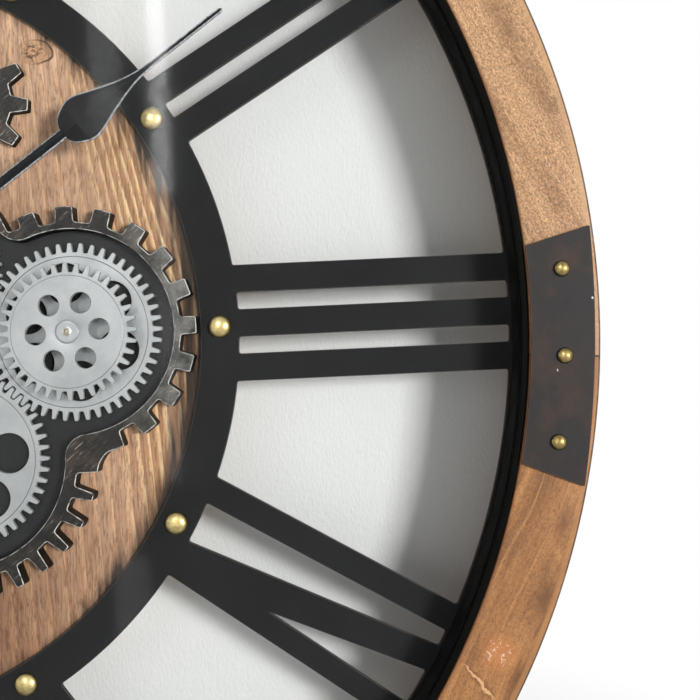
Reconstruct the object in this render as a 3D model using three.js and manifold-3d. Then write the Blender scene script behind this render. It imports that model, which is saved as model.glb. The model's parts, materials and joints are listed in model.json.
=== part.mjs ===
// Gear wall clock: wooden rim, cut metal dial behind glass, and a tray of turning gears under two hands.
// Millimetres, +Z up, the face looks along -Y. The origin is on the hands' axis, half way through the depth.
// Pieces are drawn in the face frame: x right, y up, z out from the wall, with z = 0 on the wall.
import * as THREE from 'three';
import { mergeVertices } from 'three/addons/utils/BufferGeometryUtils.js';
import Module from 'manifold-3d';

const wasm = await Module();
wasm.setup();

// Clearances
const SEAT = 0.3;              // between faces that rest on each other
const FIT = 0.3;               // round a pin in its hole
const RING_FIT = 0.5;          // round a large ring inside the rim

// Rim
const RIM_RADIUS = 400;
const RIM_WIDTH = 35;
const REBATE_WIDTH = 7;        // step at the back that takes the edge of the dial
const RIM_QUARTERS = 4;
const RIM_TURN = -3.43;        // degrees from 3 o'clock to the joint below the right plate
const JOINT_GAP = 0.3;

// Joint plates
const PLATE_THICKNESS = 1.2;
const PLATE_INNER_SPAN = 16.9; // degrees along the inner edge
const PLATE_OUTER_SPAN = 18.6; // degrees along the outer edge, so the ends flare
const PLATE_INNER_EDGE = 0.4;  // bare wood inside the plate
const PLATE_OUTER_EDGE = 3.2;  // bare wood outside the plate, at its middle
const PLATE_CORNER_EDGE = 1.8; // bare wood outside the plate, at its corners
const PLATE_TACK_STEP = 6.4;   // degrees between tacks
const PLATE_TACKS = 3;
const PLATE_TACK_INSET = 18;   // from the rim's outer edge

// Tacks
const SMALL_HEAD_RADIUS = 4;
const SMALL_HEAD_HEIGHT = 2.6;
const LARGE_HEAD_RADIUS = 6;
const LARGE_HEAD_HEIGHT = 3.4;
const SHANK_RADIUS = 1.2;
const SHANK_LENGTH = 8;
const DOME_SHOULDER = [0.75, 0.66]; // shares of the head's radius and height

// Dial
const DIAL_THICKNESS = 2;
const DIAL_RING_SHOW = 5.5;    // outer ring that shows inside the rim
const INNER_RING_WIDTH = 20;
const BAR_WIDTH = 14.4;
const BAR_GAP = 8.8;
const STROKE_INSET = 3;        // from the inner ring's inner edge to the strokes' ends
const STROKE_LAP = 4;          // length of each stroke in the outer ring
const V_FOOT = 20;
const V_TOP = 47;
const V_THICK = 14.4;
const V_THIN = 12.5;
const X_WIDTH = 46;
const HOURS = 12;
const NUMERAL_TURN = { 2: -1.2, 3: -0.2, 4: 0.5 };  // degrees off the hour, by hour
const TACK_TURN = [0.9, -1.6, 0.2, -0.6, 1.4, 0.4, -0.9, 0.7, -0.3, 1.0, -0.8, 0.5]; // degrees, set by hand

// Centre board
const BOARD_THICKNESS = 9;
const BOARD_INSET = 4;         // from the inner ring's outer edge
const BOARD_SEGMENTS = 60;

// Moving gears
const MODULE = 1.845;
const LARGE_TEETH = 48;
const SMALL_TEETH = 36;
const ADDENDUM = 2.1;
const DEDENDUM = 2.7;
const GEAR_THICKNESS = 2.5;
const LARGE_HOLE_RADIUS = 10.5;
const LARGE_HOLE_CIRCLE = 25.7;
const SMALL_HOLE_RADIUS = 5.4;
const SMALL_HOLE_CIRCLE = 16.3;
const GEAR_HOLES = 6;
const LARGE_HOLE_TURN = 36.6;  // degrees
const LOWER_HOLE_TURN = 5.4;
const SMALL_HOLE_TURN = 3;
const TOOTH_ROOT_SHARE = 0.52; // tooth width at the root, as a share of the pitch
const TOOTH_TIP_SHARE = 0.28;
const COLLAR_RADIUS = 6.5;
const COLLAR_LENGTH = 5.8;
const AXLE_RADIUS = 1.9;
const AXLE_DEPTH = 6;          // in the board
const AXLE_HEAD_RADIUS = 3.6;
const AXLE_HEAD_HEIGHT = 0.7;
const HAND_AXIS_GAP = 13.5;    // from the centre gear's tips to the hands' axis
const CENTRE_BEARING = 33.1;   // degrees, hands' axis to the centre gear
const RIGHT_BEARING = -22;     // centre gear to the right gear
const LOWER_BEARING = 226.2;   // right gear to the lower gear
const LEFT_BEARING = 170;      // centre gear to the left gear

// Gear tray
const TRAY_DEPTH = 7.4;
const TRAY_FLOOR = 1.3;
const GEAR_FLOAT = 0.5;        // from the tray's floor to the gears
const WALL_FILLET = 12;        // where two recesses meet
const WEB_FILLET = 12;         // where two toothed walls meet outside
const WEB_HOLLOW = 14.4;       // radius between a right ring's tooth and a lower ring's
const WEB_RIGHT_TOOTH = -4;    // numbers of those teeth, counted from each ring's turn
const WEB_LOWER_TOOTH = 1;
const BOSS_RADIUS = 20;        // round the hands' axis
const TRAY_DIAL_GAP = 0.9;
const RINGS = {
  right: { gap: 6.9, wall: 3.9, tooth: 8.1, teeth: 20, root: 9.9, tip: 9.4, turn: 1 },
  lower: { gap: 9.4, wall: 6.6, tooth: 10.6, teeth: 30, root: 6.7, tip: 4.4, turn: -17.5 },
  centre: { gap: 4.9, wall: 4.4, tooth: 8.1, teeth: 20, root: 9.4, tip: 8.8, turn: 16 },
  left: { gap: 4.9, wall: 4.4, tooth: 8.1, teeth: 20, root: 9.4, tip: 8.8, turn: 8 },
};

// Fixed gears on the board
const FIXED_THICKNESS = 4;
const FIXED_UPPER = { teeth: 11, tip: 35.3, root: 26.6, bore: 12, rootHalf: 4.6, tipHalf: 3, turn: -4.8 };
const FIXED_LOWER = { teeth: 14, tip: 46, root: 36.5, bore: 18, rootHalf: 5, tipHalf: 3.4, turn: 6 };
const FIXED_GAP = 2.4;         // from the tray's wall to the upper fixed gear
const FIXED_CLEAR = 24;        // from the upper fixed gear's teeth to the tray's nearest tooth
const FIXED_UPPER_BEARING = 72.2;
const FIXED_LOWER_BEARING = 218;
const FIXED_LOWER_INSET = 30;  // from the dial's inner ring

// Hands
const HAND_THICKNESS = 1;
const MINUTE_LENGTH = 270;
const HOUR_LENGTH = 192;
const MINUTE_TURN = 54.1;      // degrees clockwise from 12
const HOUR_TURN = 304.5;
const HAND_EYE_RADIUS = 9;
const HAND_STEM_WIDTH = 5.5;
const SPADE_LENGTH = 101.5;
const SPADE_HALF_WIDTH = 12;
// Half width and place along the spade, as shares of both
const SPADE_CURVE = [[0.72, 0.045], [1, 0.11], [0.78, 0.22], [0.42, 0.36], [0.18, 0.49], [0.1, 0.6]];
const HAND_TIP_HALF_WIDTH = 1;
const HOUR_HAND_GAP = 1.4;     // in front of the axle heads
const MINUTE_HAND_GAP = 1.2;   // in front of the hour hand
const CAP_RADIUS = 5;
const CAP_HEIGHT = 1.5;
const GLASS_GAP = 0.8;         // from the hand cap to the glass

// Glass and gasket
const GLASS_THICKNESS = 3;
const GLASS_INSET = 1.8;       // from the rim's front to the glass
const GASKET_WALL = 1.3;
const GASKET_LIP = 2.2;

// Quartz movement and gear drive
const WALL_GAP = 1;            // from the wall to the setting knob
const CASE_HEIGHT = 56;
const CASE_FRONT_WALL = 1.2;
const CASE_SIDE_WALL = 2;
const CELL_RADIUS = 7;
const CELL_LENGTH = 50;
const CELL_TIP = 1.4;
const CELL_TIP_RADIUS = 2.8;
const CELL_INSET = 0.2;        // from the case's back
const BUSH_RADIUS = 5;
const BUSH_PROUD = 0.4;        // of the nut
const PIPE_RADIUS = 3;
const ARBOR_RADIUS = 1.6;
const PIPE_DEPTH = 5;          // in the case
const ARBOR_DEPTH = 9;         // in the case
const NUT_RADIUS = 8;
const NUT_SIDES = 6;
const NUT_HEIGHT = 3;
const KNOB_RADIUS = 6;
const KNOB_HEIGHT = 2.7;
const KNOB_EDGE = 14;          // from the case's right and top edges
const KNOB_STEM_RADIUS = 1.6;
const KNOB_STEM_LENGTH = 5;

// Hanger plate
const HANGER_WIDTH = 70;
const HANGER_THICKNESS = 1.5;
const HANGER_EDGE = 4;         // wood left round the plate
const KEYHOLE_RADIUS = 4.5;
const KEYHOLE_SLOT = 2.4;      // half width
const KEYHOLE_EDGE = 2.2;      // steel left round the keyhole
const SCREW_ROOM = 8;          // depth of wood cut away behind the keyhole
const SCREW_ROOM_WIDTH = 14;

// Facets
const RIM_SEGMENTS = 72;
const PIN_SEGMENTS = 8;
const HOLE_SEGMENTS = 10;
const DISC_SEGMENTS = 36;
const ARC_STEPS = 5;

// Depths, each built on the one behind it
const caseBack = WALL_GAP + KNOB_HEIGHT + SEAT;
const bayFront = caseBack + CELL_INSET + 2 * CELL_RADIUS + FIT;
const caseFront = bayFront + CASE_FRONT_WALL;
const boardBack = caseFront + SEAT;
const boardFront = boardBack + BOARD_THICKNESS;
const dialBack = boardFront + SEAT;
const dialFront = dialBack + DIAL_THICKNESS;
const trayBack = boardFront + SEAT;
const trayFloorTop = trayBack + TRAY_FLOOR;
const trayFront = trayBack + TRAY_DEPTH;
const gearBack = trayFloorTop + GEAR_FLOAT;
const gearFront = gearBack + GEAR_THICKNESS;
const collarBack = gearFront + SEAT;
const smallGearBack = collarBack + COLLAR_LENGTH;
const smallGearFront = smallGearBack + GEAR_THICKNESS;
const nutBack = trayFront + SEAT;
const bushFront = nutBack + NUT_HEIGHT + BUSH_PROUD;
const highestBelowHands = Math.max(smallGearFront + SEAT + AXLE_HEAD_HEIGHT, bushFront);
const hourBack = highestBelowHands + HOUR_HAND_GAP;
const hourFront = hourBack + HAND_THICKNESS;
const minuteBack = hourFront + MINUTE_HAND_GAP;
const minuteFront = minuteBack + HAND_THICKNESS;
const capBack = minuteFront + SEAT;
const capFront = capBack + CAP_HEIGHT;
const glassBack = capFront + GLASS_GAP;
const glassFront = glassBack + GLASS_THICKNESS;
const rimFront = glassFront + GLASS_INSET;
const plateBack = rimFront + SEAT;
const plateFront = plateBack + PLATE_THICKNESS;
const smallTackSeat = plateFront + SEAT;
const totalDepth = smallTackSeat + SMALL_HEAD_HEIGHT;

// Points and outlines
const radians = (degrees) => THREE.MathUtils.degToRad(degrees);
const polar = (radius, degrees, centre = new THREE.Vector2()) =>
  new THREE.Vector2(radius, 0).rotateAround(new THREE.Vector2(), radians(degrees)).add(centre);
const arc = (radius, from, to, steps, centre) =>
  Array.from({ length: steps + 1 }, (_, i) => polar(radius, from + ((to - from) * i) / steps, centre));
const circle = (radius, segments, centre, start = 0) =>
  arc(radius, start, start + 360, segments, centre).slice(0, -1);
const rimCircle = (radius) => circle(radius, RIM_SEGMENTS, new THREE.Vector2(), RIM_TURN);
const rectangle = (width, height, centre = new THREE.Vector2()) =>
  [[-1, -1], [1, -1], [1, 1], [-1, 1]].map(([u, v]) =>
    new THREE.Vector2((u * width) / 2, (v * height) / 2).add(centre));

// Solids
const extrude = (outline, back, front, holes = []) => {
  const shape = new THREE.Shape(outline);
  shape.holes = holes.map((hole) => new THREE.Path(hole));
  const geometry = new THREE.ExtrudeGeometry(shape, { depth: front - back, bevelEnabled: false });
  return geometry.translate(0, 0, back);
};
const toSolid = (geometry) => {
  const bare = geometry.clone();
  bare.deleteAttribute('normal');
  bare.deleteAttribute('uv');
  const merged = mergeVertices(bare, 1e-4);
  const vertProperties = Float32Array.from(merged.attributes.position.array);
  const triVerts = Uint32Array.from(merged.index.array);
  return new wasm.Manifold(new wasm.Mesh({ numProp: 3, vertProperties, triVerts }));
};
const toGeometry = (solid) => {
  const { vertProperties, triVerts } = solid.getMesh();
  const geometry = new THREE.BufferGeometry();
  geometry.setAttribute('position', new THREE.BufferAttribute(vertProperties, 3));
  geometry.setIndex(new THREE.BufferAttribute(triVerts, 1));
  return geometry;
};
const join = (geometries) => geometries.map(toSolid).reduce((all, next) => all.add(next));
const cut = (solid, geometries) => geometries.map(toSolid).reduce((rest, next) => rest.subtract(next), solid);

// Finishes
const finish = (color, roughness, metalness) =>
  new THREE.MeshStandardMaterial({ color, roughness, metalness });
const RIM_WOOD = finish(0xb98d5e, 0.6, 0);
const BOARD_WOOD = finish(0xa5785a, 0.65, 0);
const DARK_PLATE = finish(0x464240, 0.5, 0.6);
const DIAL_BLACK = finish(0x2d2d2e, 0.55, 0.3);
const HAND_BLACK = finish(0x232324, 0.45, 0.4);
const TRAY_DARK = finish(0x3c3936, 0.6, 0.6);
const SILVER = finish(0xcdd0d0, 0.4, 0.7);
const BRASS = finish(0xaa965a, 0.35, 0.9);
const STEEL = finish(0xb8bcc0, 0.35, 0.9);
const RUBBER = finish(0x161616, 0.8, 0);
const BLACK_PLASTIC = finish(0x1c1d1f, 0.55, 0);
const CELL_JACKET = finish(0x3f6f9f, 0.4, 0.2);
const CLEAR_GLASS = finish(0xeef4f4, 0.05, 0);
CLEAR_GLASS.transparent = true;
CLEAR_GLASS.opacity = 0.25;

const face = new THREE.Group();
const place = (name, geometry, material, x = 0, y = 0, z = 0) => {
  const mesh = new THREE.Mesh(geometry, material);
  mesh.name = name;
  mesh.position.set(x, y, z);
  face.add(mesh);
};

// Places of the tacks
const rimInner = RIM_RADIUS - RIM_WIDTH;
const rebateRadius = rimInner + REBATE_WIDTH;
const jointAngles = Array.from({ length: RIM_QUARTERS }, (_, i) => RIM_TURN + (360 / RIM_QUARTERS) * i);
const plateTackPlaces = (angle) =>
  Array.from({ length: PLATE_TACKS }, (_, i) =>
    polar(RIM_RADIUS - PLATE_TACK_INSET, angle + (i - (PLATE_TACKS - 1) / 2) * PLATE_TACK_STEP));
const shankHole = (centre, seat) =>
  extrude(circle(SHANK_RADIUS + FIT, PIN_SEGMENTS, centre), seat - SHANK_LENGTH - SEAT, seat + SEAT);

// Hanger plate, let into the back of the rim across the top
const hangerLow = rebateRadius + HANGER_EDGE;
const hangerHigh = Math.sqrt((RIM_RADIUS - HANGER_EDGE) ** 2 - (HANGER_WIDTH / 2) ** 2);
const hangerCentre = new THREE.Vector2(0, (hangerLow + hangerHigh) / 2);
const keyholeLow = hangerLow + KEYHOLE_EDGE + KEYHOLE_RADIUS;
const keyholeHigh = hangerHigh - KEYHOLE_EDGE - KEYHOLE_SLOT;
const keyhole = () => {
  const low = new THREE.Vector2(0, keyholeLow);
  const high = new THREE.Vector2(0, keyholeHigh);
  const meet = THREE.MathUtils.radToDeg(Math.acos(KEYHOLE_SLOT / KEYHOLE_RADIUS));
  return [
    ...arc(KEYHOLE_SLOT, 0, 180, ARC_STEPS, high),
    ...arc(KEYHOLE_RADIUS, 180 - meet, 360 + meet, 2 * ARC_STEPS, low),
  ];
};
const hangerOutline = rectangle(HANGER_WIDTH, hangerHigh - hangerLow, hangerCentre);
place('hanger_plate', extrude(hangerOutline, SEAT, SEAT + HANGER_THICKNESS, [keyhole()]), STEEL);
const hangerPocket = rectangle(HANGER_WIDTH + 2 * FIT, hangerHigh - hangerLow + 2 * FIT, hangerCentre);
const screwPocket = rectangle(SCREW_ROOM_WIDTH, hangerHigh - hangerLow - 2 * SEAT, hangerCentre);
const hangerCuts = [
  extrude(hangerPocket, -SEAT, HANGER_THICKNESS + 2 * SEAT),
  extrude(screwPocket, 0, HANGER_THICKNESS + 2 * SEAT + SCREW_ROOM),
];

// Rim quarters, joined under the plates
const sector = (inner, outer, from, to) => {
  const steps = RIM_SEGMENTS / RIM_QUARTERS;
  return [...arc(outer, from, to, steps), ...arc(inner, to, from, steps)];
};
const jointTrim = THREE.MathUtils.radToDeg(JOINT_GAP / 2 / RIM_RADIUS);
const rimTackHoles = jointAngles.flatMap(plateTackPlaces).map((spot) => shankHole(spot, smallTackSeat));
const quarterNames = ['rim_upper_right', 'rim_upper_left', 'rim_lower_left', 'rim_lower_right'];
quarterNames.forEach((name, i) => {
  const from = jointAngles[i] + jointTrim;
  const to = jointAngles[i] + 360 / RIM_QUARTERS - jointTrim;
  const bar = join([
    extrude(sector(rimInner, RIM_RADIUS, from, to), dialFront + SEAT, rimFront),
    extrude(sector(rebateRadius, RIM_RADIUS, from, to), 0, rimFront),
  ]);
  place(name, toGeometry(cut(bar, [...rimTackHoles, ...hangerCuts])), RIM_WOOD);
});

// Joint plates: the outer edge is a flatter curve than the rim's
const plateOutline = () => {
  const innerHalf = PLATE_INNER_SPAN / 2;
  const outerHalf = PLATE_OUTER_SPAN / 2;
  const outerAt = (angle) => {
    const share = (angle / outerHalf) ** 2;
    const edge = PLATE_OUTER_EDGE + (PLATE_CORNER_EDGE - PLATE_OUTER_EDGE) * share;
    return polar(RIM_RADIUS - edge, angle);
  };
  const outer = Array.from({ length: ARC_STEPS + 1 }, (_, i) =>
    outerAt(-outerHalf + (PLATE_OUTER_SPAN * i) / ARC_STEPS));
  return [...outer, ...arc(rimInner + PLATE_INNER_EDGE, innerHalf, -innerHalf, ARC_STEPS)];
};
const tack = (headRadius, headHeight) => {
  const profile = [
    [0, -SHANK_LENGTH],
    [SHANK_RADIUS, -SHANK_LENGTH],
    [SHANK_RADIUS, 0],
    [headRadius, 0],
    [headRadius * DOME_SHOULDER[0], headHeight * DOME_SHOULDER[1]],
    [0, headHeight],
  ];
  const points = profile.map(([r, z]) => new THREE.Vector2(r, z));
  return new THREE.LatheGeometry(points, PIN_SEGMENTS).rotateX(Math.PI / 2);
};
const smallTack = tack(SMALL_HEAD_RADIUS, SMALL_HEAD_HEIGHT);
const sideNames = ['right', 'top', 'left', 'bottom'];
sideNames.forEach((side, i) => {
  const turn = radians(jointAngles[i]);
  const holes = plateTackPlaces(0).map((spot) => circle(SHANK_RADIUS + FIT, PIN_SEGMENTS, spot));
  place(`plate_${side}`, extrude(plateOutline(), plateBack, plateFront, holes).rotateZ(turn), DARK_PLATE);
  plateTackPlaces(jointAngles[i]).forEach((spot, j) =>
    place(`plate_tack_${side}_${j + 1}`, smallTack, BRASS, spot.x, spot.y, smallTackSeat));
});

// Places of the gears, each found from the one it meshes with
const largePitch = (MODULE * LARGE_TEETH) / 2;
const largeTip = largePitch + ADDENDUM;
const centreDistance = 2 * largePitch;
const centreGear = polar(largeTip + HAND_AXIS_GAP, CENTRE_BEARING);
const rightGear = polar(centreDistance, RIGHT_BEARING, centreGear);
const lowerGear = polar(centreDistance, LOWER_BEARING, rightGear);
const leftGear = polar(centreDistance, LEFT_BEARING, centreGear);

// Rings of the tray, one round each gear
const ringAt = (spot, size) => {
  const recess = largeTip + size.gap;
  const root = recess + size.wall;
  return { ...size, spot, recess, rootRadius: root, tipRadius: root + size.tooth };
};
const rightRing = ringAt(rightGear, RINGS.right);
const lowerRing = ringAt(lowerGear, RINGS.lower);
const centreRing = ringAt(centreGear, RINGS.centre);
const leftRing = ringAt(leftGear, RINGS.left);
const rings = [rightRing, lowerRing, centreRing, leftRing];
const trayReach = Math.max(...rings.map((ring) => ring.spot.length() + ring.tipRadius));

// Dial: two rings joined by the strokes of the numerals
const ringInner = trayReach + TRAY_DIAL_GAP;
const ringOuter = ringInner + INNER_RING_WIDTH;
const dialOpening = rimInner - DIAL_RING_SHOW;
const tackCircle = (ringInner + ringOuter) / 2;
const upright = (left) => [[left, left + BAR_WIDTH], [left, left + BAR_WIDTH]];
const strokesOf = {
  I: (left) => [upright(left)],
  V: (left) => {
    const foot = left + (V_TOP - V_FOOT) / 2;
    return [
      [[foot, foot + V_FOOT], [left, left + V_THICK]],
      [[foot + V_FOOT - V_THIN, foot + V_FOOT], [left + V_TOP - V_THIN, left + V_TOP]],
    ];
  },
  X: (left) => [
    [[left, left + V_THICK], [left + X_WIDTH - V_THICK, left + X_WIDTH]],
    [[left + X_WIDTH - V_THIN, left + X_WIDTH], [left, left + V_THIN]],
  ],
};
const letterWidth = { I: BAR_WIDTH, V: V_TOP, X: X_WIDTH };
const strokeOutline = ([foot, top]) => {
  const lowEnd = ringInner + STROKE_INSET;
  const highEnd = dialOpening + STROKE_LAP;
  const edgeAt = (side, height) => {
    const share = (height - ringOuter) / (dialOpening - ringOuter);
    return new THREE.Vector2(THREE.MathUtils.lerp(foot[side], top[side], share), height);
  };
  return [edgeAt(0, lowEnd), edgeAt(1, lowEnd), edgeAt(1, highEnd), edgeAt(0, highEnd)];
};
const NUMERALS = ['I', 'II', 'III', 'IV', 'V', 'VI', 'VII', 'VIII', 'IX', 'X', 'XI', 'XII'];
const numeralStrokes = NUMERALS.flatMap((letters, i) => {
  const hour = i + 1;
  const widths = [...letters].map((letter) => letterWidth[letter]);
  const total = widths.reduce((sum, width) => sum + width + BAR_GAP, -BAR_GAP);
  const turn = -radians((360 / HOURS) * hour + (NUMERAL_TURN[hour] ?? 0));
  let left = -total / 2;
  return [...letters].flatMap((letter, j) => {
    const strokes = strokesOf[letter](left);
    left += widths[j] + BAR_GAP;
    return strokes.map((stroke) => extrude(strokeOutline(stroke), dialBack, dialFront).rotateZ(turn));
  });
});
const dialRings = [
  extrude(rimCircle(rebateRadius - RING_FIT), dialBack, dialFront, [rimCircle(dialOpening)]),
  extrude(rimCircle(ringOuter), dialBack, dialFront, [rimCircle(ringInner)]),
];
const hourAngle = (hour) => 90 - (360 / HOURS) * hour;
const dialTackPlaces = TACK_TURN.map((turn, i) => polar(tackCircle, hourAngle(i + 1) - turn));
const largeTackSeat = dialFront + SEAT;
const dialTackHoles = dialTackPlaces.map((spot) => shankHole(spot, largeTackSeat));
const dialSolid = cut(join([...dialRings, ...numeralStrokes]), dialTackHoles);
place('dial_plate', toGeometry(dialSolid), DIAL_BLACK);
const largeTack = tack(LARGE_HEAD_RADIUS, LARGE_HEAD_HEIGHT);
dialTackPlaces.forEach((spot, i) =>
  place(`dial_tack_${i + 1}`, largeTack, BRASS, spot.x, spot.y, largeTackSeat));

// Centre board, with the holes for the bush, the drive shaft, the axles and the tacks
const axleSpots = { right: rightGear, centre: centreGear, left: leftGear };
const axleHole = (spot, from, to) => extrude(circle(AXLE_RADIUS + FIT, PIN_SEGMENTS, spot), from, to);
const bushHole = circle(BUSH_RADIUS + FIT, HOLE_SEGMENTS);
const shaftHole = circle(AXLE_RADIUS + FIT, PIN_SEGMENTS, lowerGear);
const boardOutline = circle(ringOuter - BOARD_INSET, BOARD_SEGMENTS);
const boardBlank = toSolid(extrude(boardOutline, boardBack, boardFront, [bushHole, shaftHole]));
const blindHoles = Object.values(axleSpots).map((spot) =>
  axleHole(spot, boardFront - AXLE_DEPTH - SEAT, boardFront + SEAT));
place('centre_board', toGeometry(cut(boardBlank, [...blindHoles, ...dialTackHoles])), BOARD_WOOD);

// Fixed gears, laid on the board
const toothed = (teeth, tip, root, rootHalf, tipHalf, turn, centre, keep = () => true) =>
  Array.from({ length: teeth }, (_, i) => turn + (360 / teeth) * i).flatMap((angle) => {
    const rootAngle = THREE.MathUtils.radToDeg(Math.asin(rootHalf / root));
    const tipAngle = THREE.MathUtils.radToDeg(Math.asin(tipHalf / tip));
    if (!keep(polar(tip, angle, centre))) {
      return [polar(root, angle - rootAngle, centre), polar(root, angle + rootAngle, centre)];
    }
    return [
      polar(root, angle - rootAngle, centre),
      polar(tip, angle - tipAngle, centre),
      polar(tip, angle + tipAngle, centre),
      polar(root, angle + rootAngle, centre),
    ];
  });
const fixedGear = ({ teeth, tip, root, bore, rootHalf, tipHalf, turn }) => {
  const outline = toothed(teeth, tip, root, rootHalf, tipHalf, turn);
  return extrude(outline, 0, FIXED_THICKNESS, [circle(bore, HOLE_SEGMENTS)]);
};
const fixedUpperReach = centreRing.rootRadius + FIXED_UPPER.tip + FIXED_GAP;
const fixedUpper = polar(fixedUpperReach, FIXED_UPPER_BEARING, centreGear);
const fixedLower = polar(ringInner - FIXED_LOWER.tip - FIXED_LOWER_INSET, FIXED_LOWER_BEARING);
place('fixed_gear_upper', fixedGear(FIXED_UPPER), TRAY_DARK, fixedUpper.x, fixedUpper.y, boardFront + SEAT);
place('fixed_gear_lower', fixedGear(FIXED_LOWER), TRAY_DARK, fixedLower.x, fixedLower.y, boardFront + SEAT);

// Gear tray: toothed rings joined into one outline, hollowed round the gears
const fixedUpperRoom = FIXED_UPPER.tip + FIXED_CLEAR;
const bossRoom = BOSS_RADIUS + centreRing.tooth;
const keepTooth = (point) => point.distanceTo(fixedUpper) > fixedUpperRoom && point.length() > bossRoom;
const ringSolid = ({ spot, rootRadius, tipRadius, teeth, root, tip, turn }) => {
  const outline = toothed(teeth, tipRadius, rootRadius, root / 2, tip / 2, turn, spot, keepTooth);
  return extrude(outline, trayBack, trayFront);
};
const shortArc = (centre, radius, a, b) => {
  const bearing = (spot) => THREE.MathUtils.radToDeg(Math.atan2(spot.y - centre.y, spot.x - centre.x));
  const from = bearing(a);
  const swing = ((bearing(b) - from + 540) % 360) - 180;
  return arc(radius, from, from + swing, ARC_STEPS, centre);
};
const neck = (a, radiusA, b, radiusB, fillet, side) => {
  const reachA = radiusA + fillet;
  const reachB = radiusB + fillet;
  const along = b.clone().sub(a);
  const span = along.length();
  const foot = (reachA ** 2 - reachB ** 2 + span ** 2) / (2 * span);
  const rise = side * Math.sqrt(reachA ** 2 - foot ** 2);
  const unit = along.normalize();
  const centre = new THREE.Vector2(
    a.x + unit.x * foot - unit.y * rise,
    a.y + unit.y * foot + unit.x * rise,
  );
  return [a, ...shortArc(centre, fillet, a, b), b];
};
const toothCorner = ({ spot, tipRadius, teeth, tip, turn }, number, side) => {
  const tipAngle = THREE.MathUtils.radToDeg(Math.asin(tip / 2 / tipRadius));
  return polar(tipRadius, turn + (360 / teeth) * number + side * tipAngle, spot);
};
const hollowWeb = (a, cornerA, b, cornerB, radius) => {
  const middle = cornerA.clone().lerp(cornerB, 0.5);
  const way = cornerB.clone().sub(cornerA);
  const half = way.length() / 2;
  const reach = Math.sqrt(Math.max(radius ** 2 - half ** 2, 0));
  const unit = way.normalize();
  const centre = new THREE.Vector2(middle.x - unit.y * reach, middle.y + unit.x * reach);
  return [a, ...shortArc(centre, Math.hypot(half, reach), cornerA, cornerB), b];
};
const handAxis = new THREE.Vector2();
const rightCorner = toothCorner(rightRing, WEB_RIGHT_TOOTH, 1);
const lowerCorner = toothCorner(lowerRing, WEB_LOWER_TOOTH, -1);
const webs = [
  hollowWeb(rightGear, rightCorner, lowerGear, lowerCorner, WEB_HOLLOW),
  neck(handAxis, BOSS_RADIUS, lowerGear, lowerRing.rootRadius, WEB_FILLET, -1),
  neck(handAxis, BOSS_RADIUS, lowerGear, lowerRing.rootRadius, WEB_FILLET, 1),
  neck(handAxis, BOSS_RADIUS, leftGear, leftRing.rootRadius, WEB_FILLET, 1),
];
const trayBlank = join([
  ...rings.map(ringSolid),
  ...[...webs, circle(BOSS_RADIUS, DISC_SEGMENTS)].map((outline) => extrude(outline, trayBack, trayFront)),
]);
const recessTop = trayFront + SEAT;
const neckPairs = [
  [rightRing, lowerRing],
  [rightRing, centreRing],
  [lowerRing, centreRing],
  [centreRing, leftRing],
];
const recesses = [
  ...rings.map((ring) => circle(ring.recess, DISC_SEGMENTS, ring.spot)),
  ...neckPairs.flatMap(([a, b]) =>
    [-1, 1].map((side) => neck(a.spot, a.recess, b.spot, b.recess, WALL_FILLET, side))),
].map((outline) => extrude(outline, trayFloorTop, recessTop));
const trayHoles = [
  extrude(bushHole, trayBack - SEAT, recessTop),
  ...[rightGear, lowerGear, centreGear, leftGear].map((spot) => axleHole(spot, trayBack - SEAT, recessTop)),
];
const traySolid = cut(trayBlank.subtract(join(recesses)), trayHoles);
place('gear_tray', toGeometry(traySolid), TRAY_DARK);

// Moving gears: a mate has a gap where its neighbour has a tooth
const largeStep = 360 / LARGE_TEETH;
const matePhase = (phase, bearing) => bearing + 180 - (phase - bearing) + largeStep / 2;
const rightPhase = 0;
const lowerPhase = matePhase(rightPhase, LOWER_BEARING);
const centrePhase = matePhase(rightPhase, RIGHT_BEARING + 180);
const leftPhase = matePhase(centrePhase, LEFT_BEARING);
const gearGeometry = (teeth, phase, holeRadius, holeCircle, holeTurn) => {
  const pitch = MODULE * Math.PI;
  const pitchRadius = (MODULE * teeth) / 2;
  const outline = toothed(
    teeth,
    pitchRadius + ADDENDUM,
    pitchRadius - DEDENDUM,
    (pitch * TOOTH_ROOT_SHARE) / 2,
    (pitch * TOOTH_TIP_SHARE) / 2,
    phase,
  );
  const holes = Array.from({ length: GEAR_HOLES }, (_, i) =>
    circle(holeRadius, HOLE_SEGMENTS, polar(holeCircle, holeTurn + (360 / GEAR_HOLES) * i)));
  return extrude(outline, 0, GEAR_THICKNESS, [...holes, circle(AXLE_RADIUS + FIT, PIN_SEGMENTS)]);
};
const largeGear = (phase, holeTurn = LARGE_HOLE_TURN) =>
  gearGeometry(LARGE_TEETH, phase, LARGE_HOLE_RADIUS, LARGE_HOLE_CIRCLE, holeTurn);
const smallGear = gearGeometry(SMALL_TEETH, 0, SMALL_HOLE_RADIUS, SMALL_HOLE_CIRCLE, SMALL_HOLE_TURN);
const collarBore = circle(AXLE_RADIUS + FIT, PIN_SEGMENTS);
const collar = extrude(circle(COLLAR_RADIUS, HOLE_SEGMENTS), -COLLAR_LENGTH, GEAR_THICKNESS, [collarBore]);
place('gear_right_rear', largeGear(rightPhase), SILVER, rightGear.x, rightGear.y, gearBack);
const frontGear = toGeometry(join([smallGear, collar]));
place('gear_right_front', frontGear, SILVER, rightGear.x, rightGear.y, smallGearBack);
place('gear_lower', largeGear(lowerPhase, LOWER_HOLE_TURN), SILVER, lowerGear.x, lowerGear.y, gearBack);
place('gear_centre', largeGear(centrePhase), SILVER, centreGear.x, centreGear.y, gearBack);
place('gear_left', largeGear(leftPhase), SILVER, leftGear.x, leftGear.y, gearBack);

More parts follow.
